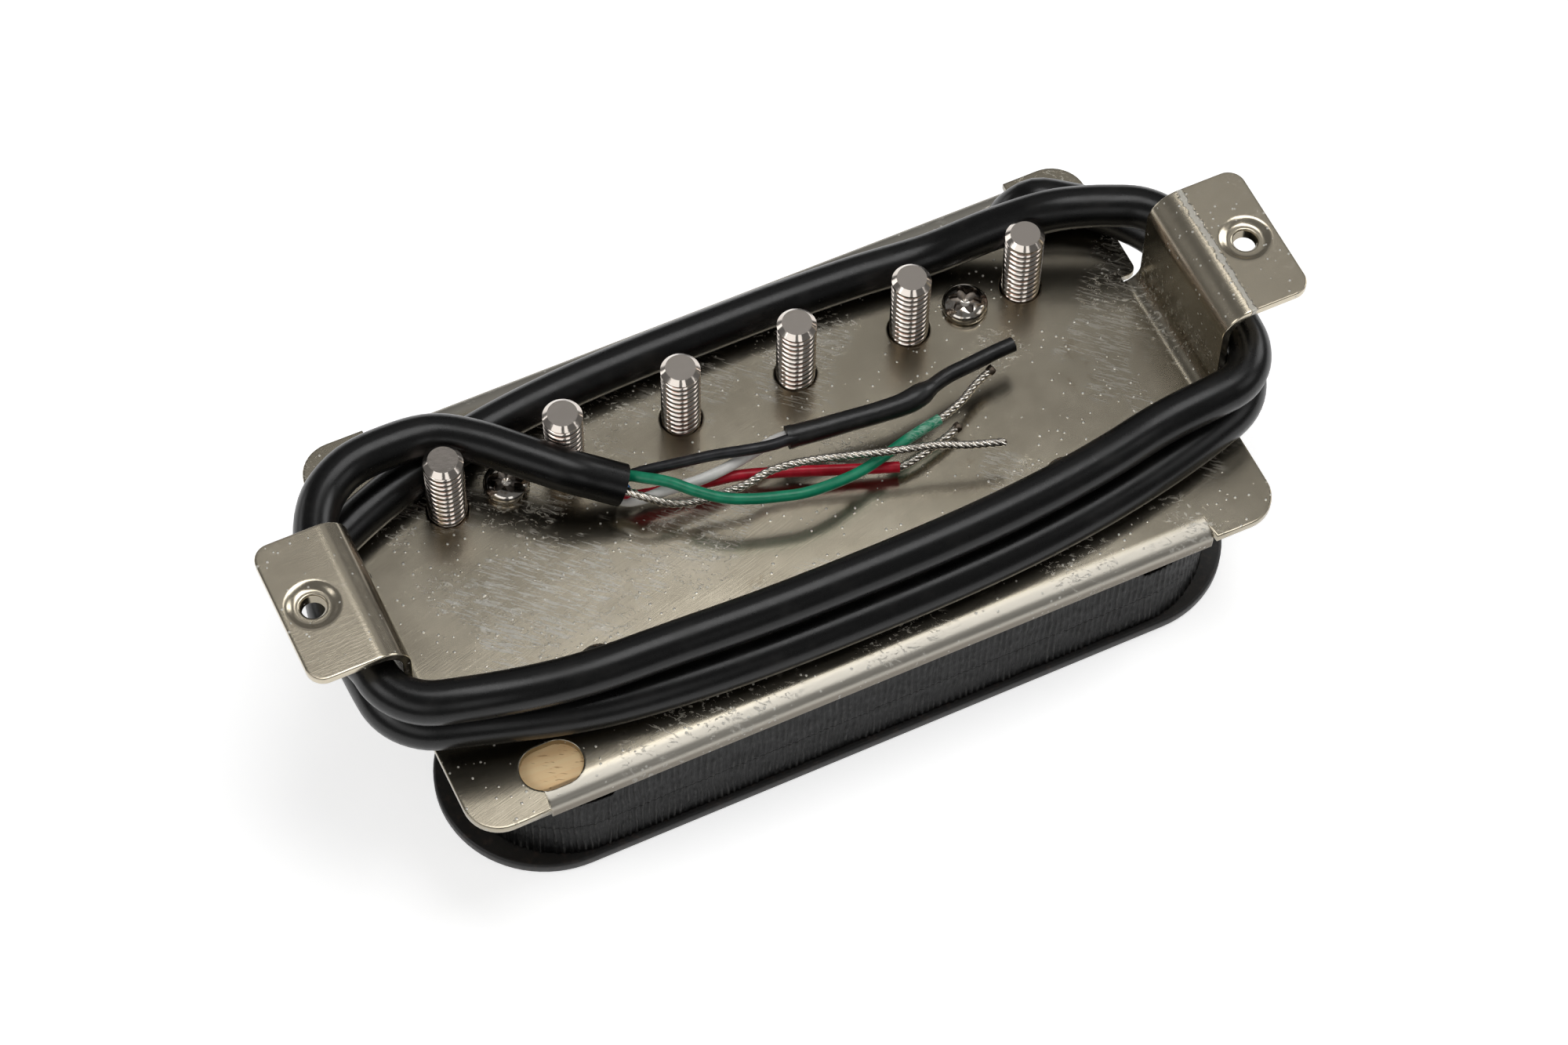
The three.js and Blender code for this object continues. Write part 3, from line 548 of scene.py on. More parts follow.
ball = path.node("MeshIcoSphere", {"Radius": end_size, "Subdivisions": 4})
spot = path.node("InputPosition")
lump = path.node("TexNoise", {"Vector": spot, "Scale": 1900.0, "Detail": 1.0}, 1)
lump = lump.vector("SUBTRACT", (0.5, 0.5, 0.5)).scaled(end_size * 0.9)
ball = ball.moved(lump).moved(tip).kept("soldered", 1.0)
joined = path.node("JoinGeometry", {0: threads})
twist.links.new(ball.socket, joined.socket.node.inputs[0])
shaded = path.node("SetShadeSmooth", {0: joined})
end_tree(shaded, tinned)


def twisted(name, route, node, blob):
    base = placed("path", strand(through(route, 0.16), 0))
    mesh = grown(
        twist, base, Threads=thread_count, Twist_Radius=(bare_diameter - thread_diameter) / 2 * mm,
        Thread_Radius=thread_diameter / 2 * mm, Lay=lay_length * mm, Blob_Radius=blob / 2 * mm,
    )
    return show(name, mesh, tinned, [node])


bare = [twisted("drain_twist", drain_route, "drain_wire", drain_blob)]
for name, route in stripped_routes.items():
    bare.append(twisted(f"{name}_stripped_end", route, f"{name}_strand", solder_blob))

# The heat-shrink sleeve.
# A black shrunk sleeve covers the soldered joint of the black and the white wire. It is fat over
# the joint, steps down at the end of the joint, and ends in a flat pinched tail.
sleeve_route = [
    (0.9, 2.03, 16.1), (1.1, 2.0, 16.1), (3.2, 1.7, 16.1), (5.9, 1.4, 16.1), (8.6, 1.1, 16.1),
    (10.9, 1.0, 16.1), (12.5, 1.3, 16.1), (14.8, 1.9, 16.1), (16.9, 2.1, 16.1), (19.0, 2.3, 16.1),
    (20.9, 2.4, 16.1),
]
sleeve_diameter = 1.9
sleeve_points = through(sleeve_route, 0.25)


def sleeve_girth(x):
    """Its share of the full diameter at x"""
    bulge = 0.06 * math.exp(-((x - 11.4) / 0.9) ** 2) - 0.05 * math.exp(-((x - 7) / 3) ** 2)
    return 0.97 + bulge - 0.30 * (smooth(x, 12.2, 13.5) - 0.14 * (1 - smooth(x, 1.3, 1.5)))


sleeve_black, place, shader = finish("sleeve_black")
rubbed = place.grain(0.9, 4).step(0.4, 0.75)
link(shader, Base_Color=rubbed.mix(shade(12, 12, 12), shade(28, 27, 26)),
     Roughness=0.28 + 0.14 * place.grain(3, 3))
relief(shader, place.grain(1.3, 3, 0.6) + place.grain(9, 2) * 0.3, 0.05, 0.6)
girths = [sleeve_girth(point.x) for point in sleeve_points]
sleeve = show("heat_shrink_sleeve", strand(sleeve_points, sleeve_diameter, girths, sides=7),
              sleeve_black, ["heat_shrink"])

# The baseplate.
# One piece of nickel silver sheet, cut out flat and then folded: a lip down along each side, and
# at each end a leg up whose foot turns outwards and carries a dished, threaded mounting hole.
sheet = 0.7
plate_under = plate_top - sheet
pole_pitch = 10.05
pole_xs = [(index - 2.5) * pole_pitch for index in range(6)]
row_y = 9.05
end_x, ear_y, lip_x, lip_outer = 34.4, 18.65, 28.35, 18.3
lip_run, lip_drop = 1.75, 1.85
lip_tilts = [(0, 0), (0.3, 7), (1.1, 17), (1.75, 90)]
leg_half = 6.35
root_radius, foot_radius = 2.0, 2.5
root_x = leg_span / 2 - root_radius
root_run = (root_radius - sheet / 2) * math.pi / 2
leg_height = 10.4
foot_top = plate_top + leg_height
rise = foot_top - foot_radius - plate_under - root_radius
foot_run = (foot_radius - sheet / 2) * math.pi / 2
foot_bend_x = leg_span / 2 - sheet + foot_radius
foot_end, foot_corner = 42.1, 1.4
mount_x, mount_bore = 39.5, 1.05
dish_rim, dish_slope, dish_depth = 2.22, 0.85, 0.3
leg_foot = root_x + root_run + rise
leg_flat = leg_foot + foot_run + foot_end - foot_bend_x
mount_flat = leg_foot + foot_run + mount_x - foot_bend_x
ear_radius, relief_radius = 2.9, 0.8
notch_x, notch_room = end_x - 1.45, 0.4
oval_x, oval_y, oval_radius, oval_shift = 26.9, 15.1, 1.9, 0.6
hole_radius = (3.175 + 0.24) / 2
slit = 0.06
ring_gap, line_gap, leg_gap = 0.12, 0.12, 0.15
edge_round = 0.09
fold_rows = 12


def lip_bend(steps=42):
    """The lip's fold, gentle at first: (across, down, angle) along its middle"""
    across, down, rows = 0, 0, []
    for step in range(steps + 1):
        angle = math.radians(np.interp(lip_run * step / steps, *zip(*lip_tilts)))
        rows.append((across, down, angle))
        across += lip_run / steps * math.cos(angle)
        down += lip_run / steps * math.sin(angle)
    return rows


lip_rows = lip_bend()
bend_y = lip_outer - sheet / 2 - lip_rows[-1][0]
lip_flat = bend_y + lip_run + lip_drop - sheet / 2 - lip_rows[-1][1]


def arc(x, y, radius, start, turn=90, steps=10):
    """Points of an arc about (x, y), in degrees"""
    angles = [math.radians(start + turn * step / steps) for step in range(steps + 1)]
    return [(x + radius * math.cos(angle), y + radius * math.sin(angle)) for angle in angles]


def circle(x, y, radius, steps=48, turn=360):
    return arc(x, y, radius, 0, turn, steps)[:-1]


def plate_end():
    """The flat outline of the right end, from the front ear round the leg to the back ear"""
    low, high = leg_shift - leg_half, leg_shift + leg_half
    return [
        (lip_x, -ear_y),
        *arc(end_x - ear_radius, ear_radius - ear_y, ear_radius, -90),
        *arc(end_x - relief_radius, low - notch_room - relief_radius, relief_radius, 0),
        (notch_x, low - notch_room), (notch_x, low),
        *arc(leg_flat - foot_corner, low + foot_corner, foot_corner, -90),
        *arc(leg_flat - foot_corner, high - foot_corner, foot_corner, 0),
        (notch_x, high), (notch_x, high + notch_room),
        *arc(end_x - relief_radius, high + notch_room + relief_radius, relief_radius, -90),
        *arc(end_x - ear_radius, ear_y - ear_radius, ear_radius, 0),
        (lip_x, ear_y),
    ]


slit_x = lip_x - slit
back_lip = [(slit_x, bend_y), (slit_x, lip_flat), (-slit_x, lip_flat), (-slit_x, bend_y)]
flat_outline = [
    *plate_end(), *back_lip,
    *[(-x, y) for x, y in plate_end()[::-1]], *[(-x, -y) for x, y in back_lip],
]
flat_holes = [circle(x, row_y, hole_radius, 40, -360) for x in pole_xs]
for side in (1, -1):
    x, y = side * oval_x, side * oval_y
    flat_holes.append([*arc(x + oval_shift, y, oval_radius, 90, -180, 20),
                       *arc(x - oval_shift, y, oval_radius, -90, -180, 20)])
    flat_holes.append(circle(side * mount_flat, leg_shift, mount_bore, turn=-360))


def folded(u, v, t):
    """Where a place of the flat sheet, t above its underside, lies after folding"""
    side_x, side_y = math.copysign(1, u), math.copysign(1, v)
    u, w = abs(u), abs(v)
    x, y, z = u, w, plate_under + t
    if u > root_x and abs(v - leg_shift) < leg_half + 0.01:
        y, run = v, u - root_x
        from_bore = math.hypot(u - mount_flat, v - leg_shift)
        sink = dish_depth * smooth(dish_rim - from_bore, 0, dish_slope)
        if run < root_run:
            angle = run / root_run * math.pi / 2
            x = root_x + (root_radius - t) * math.sin(angle)
            z = plate_under + root_radius - (root_radius - t) * math.cos(angle)
        elif run < root_run + rise:
            x = root_x + root_radius - t
            z = plate_under + root_radius + run - root_run
        elif run < root_run + rise + foot_run:
            angle = (run - root_run - rise) / foot_run * math.pi / 2
            radius = foot_radius - sheet + t
            x = foot_bend_x - radius * math.cos(angle)
            z = foot_top - foot_radius + radius * math.sin(angle)
        else:
            x = foot_bend_x + run - root_run - rise - foot_run
            z = foot_top - sheet + t - (sink if t > sheet / 2 else 0)
        side_y = 1
    elif w > bend_y and u < lip_x - slit / 2:
        run = w - bend_y
        row = min(run / lip_run, 1) * (len(lip_rows) - 1)
        first = min(int(row), len(lip_rows) - 2)
        ends = [Vector(lip_row) for lip_row in lip_rows[first:first + 2]]
        across, down, angle = ends[0].lerp(ends[1], row - first)
        out = t - sheet / 2
        y = bend_y + across + out * math.sin(angle)
        z = plate_under + sheet / 2 - down + out * math.cos(angle) - max(run - lip_run, 0)
    return side_x * x, side_y * y, z


def inside(points, loop):
    """Which of the points lie inside a closed loop"""
    x, y = points.T
    result = np.zeros(len(points), bool)
    for (x0, y0), (x1, y1) in zip(loop, loop[1:] + loop[:1]):
        if y0 != y1:
            crosses = (y0 > y) != (y1 > y)
            result ^= crosses & (x < (x1 - x0) * (y - y0) / (y1 - y0) + x0)
    return result


def inset(loop, amount):
    """A loop moved to the left of its direction"""
    moved = []
    for before, here, after in zip(loop[-1:] + loop[:-1], loop, loop[1:] + loop[:1]):
        come = (Vector(here) - Vector(before)).normalized()
        go = (Vector(after) - Vector(here)).normalized()
        along = (come + go).normalized()
        stretch = 1 / max(along.dot(go), 0.5)
        moved.append((here[0] - along.y * amount * stretch, here[1] + along.x * amount * stretch))
    return moved


def sheet_metal(outline, holes, extra):
    """The flat sheet as a closed mesh with rounded edges: corners as (u, v, t), and faces"""
    rims = [inset(loop, edge_round) for loop in (outline, *holes)]
    points, edges = [], []
    for line, closed in [(rim, True) for rim in rims] + [(line, False) for line in extra]:
        first, count = len(points), len(line)
        points += line
        edges += [(first + i, first + (i + 1) % count) for i in range(count - (not closed))]
    made = geometry.delaunay_2d_cdt([Vector(p) for p in points], edges, [], 0, 1e-5, True)
    flat = np.array([tuple(point) for point in made[0]])
    centres = np.array([flat[list(face)].mean(0) for face in made[2]])
    keep = inside(centres, rims[0])
    for rim in rims[1:]:
        keep &= ~inside(centres, rim)
    triangles = [list(face) for face, kept in zip(made[2], keep) if kept]
    count = len(flat)
    corners = [(u, v, t) for t in (sheet, 0) for u, v in flat]
    faces = triangles + [[i + count for i in face[::-1]] for face in triangles]
    # Every edge of one triangle only gets a rounded wall
    used = [edge for face in triangles for edge in zip(face, face[1:] + face[:1])]
    inner = set(used)
    rim = [(a, b) for a, b in used if (b, a) not in inner]
    outward = {}
    for a, b in rim:
        step = flat[b] - flat[a]
        across = np.array((step[1], -step[0])) / np.hypot(*step)
        for corner in (a, b):
            outward[corner] = outward.get(corner, np.zeros(2)) + across
    quarter = [(math.sin(math.radians(a)), math.cos(math.radians(a))) for a in (30, 60, 90)]
    levels = [(out, sheet - edge_round * (1 - high)) for out, high in quarter]
    levels += [(out, edge_round * (1 - high)) for out, high in quarter[::-1]]
    rows = {}
    for corner, across in outward.items():
        across = across / max(np.hypot(*across), 1e-9) * edge_round
        first = len(corners)
        corners += [(*(flat[corner] + across * out), t) for out, t in levels]
        rows[corner] = [corner, *range(first, len(corners)), corner + count]
    for a, b in rim:
        for (a0, a1), (b0, b1) in zip(zip(rows[a], rows[a][1:]), zip(rows[b], rows[b][1:])):
            faces.append([a0, a1, b1, b0])
    return corners, faces


def across_leg(u):
    return [(u, leg_shift - leg_half), (u, leg_shift + leg_half)]


def along_lip(v):
    return [(-lip_x, v), (lip_x, v)]


bend_lines = []
for loop in (flat_outline, *flat_holes):
    ring = inset(loop, edge_round + ring_gap)
    bend_lines.append([*ring, ring[0]])
for side in (1, -1):
    for start, run in ((root_x, root_run), (leg_foot, foot_run)):
        bend_lines += [across_leg(side * u) for u in (start - leg_gap, start + run + leg_gap)]
    bend_lines += [along_lip(side * v) for v in (bend_y - line_gap, bend_y + lip_run + line_gap)]
    for share in (step / fold_rows for step in range(fold_rows + 1)):
        bend_lines.append(across_leg(side * (root_x + root_run * share)))
        bend_lines.append(across_leg(side * (leg_foot + foot_run * share)))
        bend_lines.append(along_lip(side * (bend_y + lip_run * share ** 0.8)))
    bend_lines += [arc(side * mount_flat, leg_shift, tenths / 10, 0, 360, 48)
                   for tenths in range(12, 24)]

flat_corners, plate_faces = sheet_metal(flat_outline, flat_holes, bend_lines)
plate_corners = [folded(*corner) for corner in flat_corners]

# The collar's profile, in radius and height from the foot's top: outside, under, thread, mouth
collar = [(1.62, -sheet), (1.64, -1.2), (1.54, -1.3), (1.15, -1.3)]
collar += [(1.06 if step % 2 else 0.92, 0.13 * step - 1.24) for step in range(8)]
collar += [(1.08, -0.28), (1.3, -0.32), collar[0]]
collar_sides = 40
for side in (1, -1):
    for radius, height in collar:
        ring = circle(side * mount_x, leg_shift, radius, collar_sides)
        plate_corners += [(x, y, foot_top + height) for x, y in ring]
    first = len(plate_corners) - len(collar) * collar_sides
    for low in range(first, len(plate_corners) - collar_sides, collar_sides):
        for step in range(collar_sides):
            here, after = low + step, low + (step + 1) % collar_sides
            plate_faces.append([here, here + collar_sides, after + collar_sides, after])
plate_mesh = woven(plate_corners, plate_faces)

nickel_silver, place, shader = finish("nickel_silver")
tone = place.grain(0.09, 5, 0.65).step(0.35, 0.68)
metal = tone.mix(shade(162, 154, 137), shade(175, 167, 150))
grime = place.grain(0.6, 5, 0.7).step(0.54, 0.7) * place.grain(0.13, 2).step(0.52, 0.62)
metal = (grime * 0.35).mix(metal, shade(118, 98, 70))
x, y, z = (place.part(axis) for axis in range(3))
size_x, size_y = x.math("ABSOLUTE"), y.math("ABSOLUTE")
on_lip = size_y.step(16.4, 17.2) * (1 - size_x.step(lip_x - 0.2, lip_x))
on_foot = z.step(14, 20)
# Legs and feet are painted a lighter tone than the plate: painted light, standing in for the
# brighter reflections they show.
metal = on_foot.mix(metal, shade(200, 190, 170))
# The lip's bend is painted a lighter, more neutral grey so that the highlight along it reads white:
# a painted highlight.
metal = (on_lip * 0.8).mix(metal, shade(182, 178, 169))
patch = (((x + 22) / 8) ** 2 + ((y + 1) / 5) ** 2) ** 0.5 + (place.grain(0.3, 3) - 0.5) * 1.2
worn = place.grain(0.12, 2, 0.5, 0.4).step(0.5, 0.55) * (1 - size_y.step(13, 15)) * 0.5
worn = worn.math("MAXIMUM", 1 - patch.step(0.8, 1.0)) * (1 - on_foot)
hatch = place.spread((0.8, 7, 4), 0.75).grain(0.8, 3, 0.6).step(0.525, 0.56) * worn
brushed = place.spread((0.5, 7, 0.5)).grain(1, 3, 0.6).step(0.45, 0.65) * size_x.step(33.4, 34.2)
fine = place.spread((0.35, 7, 3), -0.25).grain(1, 3, 0.6)
smear = place.spread((1, 1.7, 1), 0.6).grain(1.0, 6, 0.68, 1.6).step(0.575, 0.6)
smear *= place.grain(0.1, 2).step(0.5, 0.56) * (1 - on_foot * 0.8)
dots = place.node("TexVoronoi", {0: place, "Scale": 1.5})
speck = (1 - dots.step(0.1, 0.19)) * place.grain(0.35, 4, 0.65).step(0.47, 0.53)
from_line = (x - 36.9 + (place.grain(1.4, 3, 0.7) - 0.5) * 0.7).math("ABSOLUTE")
pressed = (1 - from_line.step(0.14, 0.32)) * z.step(22.6, 22.8)
# The lower wall of each lip is painted darker: painted shade, standing in for the shadowed table
# that it reflects.
painted_lip_shade = on_lip * (1 - z.step(11.7, 12.3))
metal = (painted_lip_shade * 0.8).mix(metal, shade(98, 89, 76))
wax = smear * 0.4 + speck * 0.85 + pressed * 0.7 + hatch * 0.6 + brushed * 0.03
wax = wax.math("MINIMUM", 0.85)
link(shader, Base_Color=wax.mix(metal, shade(206, 204, 196)), Metallic=1 - wax,
     Roughness=0.18 + 0.02 * tone + 0.05 * fine + 0.1 * smear + 0.21 * on_lip)
height = place.grain(0.2, 2) * 0.45 + fine * 0.06 + speck * 0.3 + smear * 0.15
relief(shader, height * (1 - on_foot * 0.7) + brushed * 0.025 + pressed * 3.4, 0.05, 0.7)
show("folded_baseplate", plate_mesh, nickel_silver, ["baseplate"])

# The two bobbins.
# Each bobbin is one black moulding: a face flange that lies on the table, a core that the poles
# pass through and a smaller flange towards the plate. The screw side has wells for screw heads.
bobbin_length, bobbin_width, bobbin_height, flange = 68.0, 17.8, 9.0, 1.1
core_length, core_width, core_overlap, core_bevel = 56.65, 6.4, 0.2, 0.02
core_top = bobbin_height - 0.7
base_length, base_width, base_bevel = 63.6, 16.2, 0.12
face_bevel = 0.25
slug_hole = 2.5
well_radius, well_top = 2.475, 2.5
crease_angle = math.radians(40)


def long_round(y, length, width, steps=24):
    """Two straight sides along X and full round ends, anticlockwise"""
    shift = (length - width) / 2
    return [*arc(shift, y, width / 2, -90, 180, steps), *arc(-shift, y, width / 2, 90, 180, steps)]


def round_holes(y, radius, steps=32):
    return [circle(x, y, radius, steps, -360) for x in pole_xs]


def slab(outline, holes, low, high, bevel):
    """A flat slab with rounded edges, between two heights"""
    data = bpy.data.curves.new("slab", "CURVE")
    data.dimensions = "2D"
    data.fill_mode = "BOTH"
    data.extrude = ((high - low) / 2 - bevel) * mm
    data.bevel_depth = bevel * mm
    data.bevel_resolution = 2
    data.offset = -bevel * mm
    for loop in (outline, *holes):
        spline = data.splines.new("POLY")
        spline.points.add(len(loop) - 1)
        for made, (x, y) in zip(spline.points, loop):
            made.co = (x * mm, y * mm, 0, 1)
        spline.use_cyclic_u = True
    mesh = mesh_of(placed("slab", data))
    mesh.transform(Matrix.Translation((0, 0, (low + high) / 2 * mm)))
    return mesh


def merged(*meshes):
    """Several meshes as one, doubles merged, flat faces kept flat"""
    whole = bmesh.new()
    for mesh in meshes:
        whole.from_mesh(mesh)
    bmesh.ops.remove_doubles(whole, verts=whole.verts, dist=0.001 * mm)
    joined = bpy.data.meshes.new("joined")
    whole.to_mesh(joined)
    whole.free()
    joined.polygons.foreach_set("use_smooth", [True] * len(joined.polygons))
    joined.set_sharp_from_angle(angle=crease_angle)
    return joined


bobbin_black, place, shader = finish("bobbin_black")
speck = place.grain(1.6, 4, 0.6).step(0.5, 0.7)
link(shader, Base_Color=speck.mix(shade(12, 10, 9), shade(40, 30, 25)),
     Roughness=0.36 + 0.2 * place.grain(2.2, 3))
relief(shader, place.grain(5, 4, 0.6), 0.02, 0.5)

for name, row, hole, low_hole in (
    ("screw_side", row_y, hole_radius, well_radius), ("slug_side", -row_y, slug_hole, slug_hole),
):
    low_holes, high_holes = round_holes(row, low_hole), round_holes(row, hole)
    core = long_round(row, core_length, core_width)
    show(f"{name}_moulding", merged(
        slab(long_round(row, bobbin_length, bobbin_width, 40), low_holes, 0, flange, face_bevel),
        slab(core, low_holes, flange - core_overlap, well_top, core_bevel),
        slab(core, high_holes, well_top, core_top, core_bevel),
        slab(long_round(row, base_length, base_width), high_holes,
             bobbin_height - flange, bobbin_height, base_bevel),
    ), bobbin_black, [f"bobbin_{name}"])

# The coils.
# Fine copper wire is wound round each core. The tape hides it.
coil_copper, place, shader = finish("coil_copper", Metallic=0.8, Roughness=0.4)
strands = (place.part(2) * 40).math("SINE")
link(shader, Base_Color=(strands * 0.5 + 0.5).mix(shade(120, 52, 26), shade(176, 92, 52)))
for side in ("screw_side", "slug_side"):
    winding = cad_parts[f"coil_{side}"]
    winding.data.materials.clear()
    winding.data.materials.append(coil_copper)

# The tape round each coil.
# Black tape is drawn tight round the coil, so that the edges of the layers under it show as
# upright ribs. Its ragged upper edge stands up behind the plate's lip on the outer side.
tape_length, tape_width, tape_wall = 64.4, 17.0, 0.3
tape_foot, tape_rise, rise_inset = 1.2, 1.3, 9.2
tape_height = bobbin_height - tape_foot
rib_pitch, rib_depth, ragged_extra = 0.55, 0.16, 0.1
seam_z = 5.4

band, path, height, wall, pitch, depth, lift, reach, outer = tree_of(
    "ribbed_band", "Height Wall Rib_Pitch Rib_Depth Lift Lift_Reach Outer_Side",
)
upright_path = path.node("SetCurveNormal", {0: path}, mode="Z_UP")
around = path.node("SplineParameter", output="Length")
kept = upright_path.kept("around", around)
shape = path.node("CurvePrimitiveQuadrilateral", {0: wall, 1: height})
shape = path.node("ResampleCurve", {0: shape, "Count": 70}, mode="COUNT")
strip = path.node("CurveToMesh", {0: kept, 1: shape})
spot = path.node("InputPosition")
x, y, z = (spot.part(axis) for axis in range(3))
top_share = (z / height + 0.5).step(0.93, 1.0)
along = path.node("InputNamedAttribute", {"Name": "around"}, data_type="FLOAT")
noise_place = spot.scaled(1 / mm)
drift = noise_place.grain(0.25, 2) * 1.6 + noise_place.grain(2.2, 1) * 0.25
wave = (along / pitch + drift) * math.tau
rib = wave.math("SINE") * 0.5 + 0.5
rib = rib ** 1.5 * noise_place.grain(0.7, 2).step(0.2, 0.7)
push = path.node("InputNormal").scaled((rib - 1) * depth)
ribbed = strip.kept("rib", rib).moved(push)
size_x = x.math("ABSOLUTE")
risen = (reach - size_x).step(0.0, 0.6 * mm) * (y * outer).step(0.0, 1.0 * mm)
ragged = (noise_place.grain(0.9, 3, 0.7) - 0.5) * 0.5 * mm
rise_z = top_share * (risen * (lift + ragged))
up_shift = path.node("CombineXYZ", {2: rise_z})
smoothed = path.node("SetShadeSmooth", {0: ribbed.moved(up_shift)})

tape_black, place, shader = finish("tape_black", Specular_IOR_Level=0.1)
# The tape's colour is painted lighter on the rib crests and darker between them, with random
# upright streaks of the same painted shading: painted highlight and shade on the ribs.
stripes = place.spread((4.5, 4.5, 0.3)).grain(1, 3, 0.6).step(0.42, 0.66)
painted_crest_light = place.node("Attribute", output="Fac", attribute_name="rib")
painted_crest_light = painted_crest_light.step(0.4, 0.95) * place.grain(1.3, 3).step(0.3, 0.55)
link(shader, Base_Color=(painted_crest_light * 0.85 + stripes * 0.2).mix(shade(4, 4, 4), shade(56, 55, 53)),
     Roughness=0.26 + 0.22 * place.grain(2.5, 4))
seam = place.part(2) - seam_z + (place.grain(0.5, 2) - 0.5) * 0.5
seam = 1 - seam.math("ABSOLUTE").step(0.02, 0.14)
relief(shader, stripes * 0.6 + place.spread((9, 9, 1.2)).grain(1, 4, 0.65) - seam, 0.04, 0.9)
end_tree(smoothed, tape_black)

for name, side in (("screw_side", 1), ("slug_side", -1)):
    outline = long_round(0, tape_length - tape_wall, tape_width - tape_wall, 40)
    rounds = [(x, y, 0) for x, y in outline]
    base = placed("band_path", strand(through([*rounds, rounds[0]], 0.11)[:-1], 0))
    base.data.splines[0].use_cyclic_u = True
    mesh = grown(band, base, Height=tape_height * mm, Wall=tape_wall * mm,
                 Rib_Pitch=rib_pitch * mm, Rib_Depth=rib_depth * mm,
                 Lift=(tape_rise + ragged_extra) * mm,
                 Lift_Reach=(tape_length / 2 - rise_inset) * mm, Outer_Side=float(side))
    middle = (0, side * row_y * mm, (tape_foot + tape_height / 2) * mm)
    mesh.transform(Matrix.Translation(middle))
    show(f"{name}_tape", mesh, tape_black, [f"tape_{name}"])

# The magnet layer.
# Between the bobbins and the plate lie a bar magnet, the steel keeper bar under the pole screws
# and a strip of maple that fills the space beside the slugs; it shows through the oval hole.
layer_half = 31.0
magnet_half, keeper_half = 6.35, 2.5
spacer_low, spacer_high = -16.5, -11.75


def bar(low_y, high_y, holes, bevel):
    """One bar of the layer between the bobbins and the plate"""
    outline = [(-layer_half, low_y), (layer_half, low_y),
               (layer_half, high_y), (-layer_half, high_y)]
    return merged(slab(outline, holes, bobbin_height, plate_under, bevel))


magnet_grey, place, shader = finish("magnet_grey", Metallic=0.7, Roughness=0.55)
cast = place.grain(1.3, 5, 0.65).step(0.35, 0.7)
link(shader, Base_Color=cast.mix(shade(70, 70, 72), shade(104, 102, 100)))
relief(shader, place.grain(3, 5, 0.7), 0.08, 0.7)
show("bar_magnet", bar(-magnet_half, magnet_half, [], 0.15), magnet_grey,
     ["bar_magnet"])

bar_steel, place, shader = finish("bar_steel", Metallic=1.0)
mill = place.spread((0.15, 6, 6)).grain(1, 4, 0.6)
link(shader, Base_Color=mill.step(0.3, 0.7).mix(shade(120, 118, 114), shade(160, 158, 154)),
     Roughness=0.25 + 0.25 * mill)
relief(shader, mill, 0.01)
keeper_holes = round_holes(row_y, hole_radius)
show("keeper", bar(row_y - keeper_half, row_y + keeper_half, keeper_holes, 0.1), bar_steel,
     ["keeper_bar"])

maple, place, shader = finish("maple", Roughness=0.6)
ring = place.spread((0.05, 1.1, 1.1), 0.03).grain(1, 3, 0.5, 0.6)
pore = place.spread((0.9, 5.5, 5.5), 0.5).grain(1, 2, 0.5).step(0.62, 0.72)
# The maple is painted paler than its own colour, standing in for light that does not reach it in
# the recess under the oval hole: painted light.
wood = ring.step(0.3, 0.7).mix(shade(255, 226, 176), shade(250, 208, 152))
link(shader, Base_Color=(pore * 0.7).mix(wood, shade(188, 138, 96)))
relief(shader, 1 - pore, 0.03)
show("maple_strip", bar(spacer_low, spacer_high, [], 0.15), maple, ["maple_spacer"])

# The six adjustable pole screws.
# Nickel-plated screws turned from bar: a slotted head sunk in the bobbin's face, and a rolled
# thread that stands out of the plate and ends in a flat, bevelled tip.
screw_radius, thread_pitch, thread_depth = 3.175 / 2, 0.635, 0.3
screw_tip, tip_bevel, tip_radius = plate_top + 7.3, 0.4, 1.2
head_radius, head_low, head_top = 4.75 / 2, 0.1, 1.7
slot_width, slot_top, head_bevel = 0.8, 0.9, 0.1
head_overlap, disc_overlap = 0.3, 0.1
thread_start = plate_under - 1
thread_turn = 0.7

screw, stem, radius, low, high, pitch, depth, tip, bevel, start = tree_of(
    "threaded_shank", "Radius Low High Pitch Depth Tip_Radius Bevel Thread_Start",
)
axis_low = stem.node("CombineXYZ", {2: low})
axis_high = stem.node("CombineXYZ", {2: high})
axis_line = stem.node("CurvePrimitiveLine", {0: axis_low, 1: axis_high})
turns = (high - low) / pitch
axis_line = stem.node("ResampleCurve", {0: axis_line, "Count": turns * 16}, mode="COUNT")
round_shape = stem.node("CurvePrimitiveCircle", {"Resolution": 48, "Radius": radius})
shank = stem.node("CurveToMesh", {0: axis_line, 1: round_shape, "Fill Caps": True})
spot = stem.node("InputPosition")
x, y, z = (spot.part(axis) for axis in range(3))
angle = y.math("ARCTAN2", x) / math.tau
phase = ((z - low) / pitch - angle).math("FRACT")
groove = (phase * 2 - 1).math("ABSOLUTE") ** 1.7
fade = (z - start).step(0.0, 0.3 * mm) * (high - bevel - z).step(0.0, 0.25 * mm)
slope = ((z - high + bevel) / bevel).math("MAXIMUM", 0.0)
girth = 1 - groove * fade * depth / radius - slope * (radius - tip) / radius
scale = stem.node("CombineXYZ", {0: girth, 1: girth, 2: 1.0})
formed = spot.vector("MULTIPLY", scale)
shank = stem.node("SetPosition", {0: shank, "Position": formed})

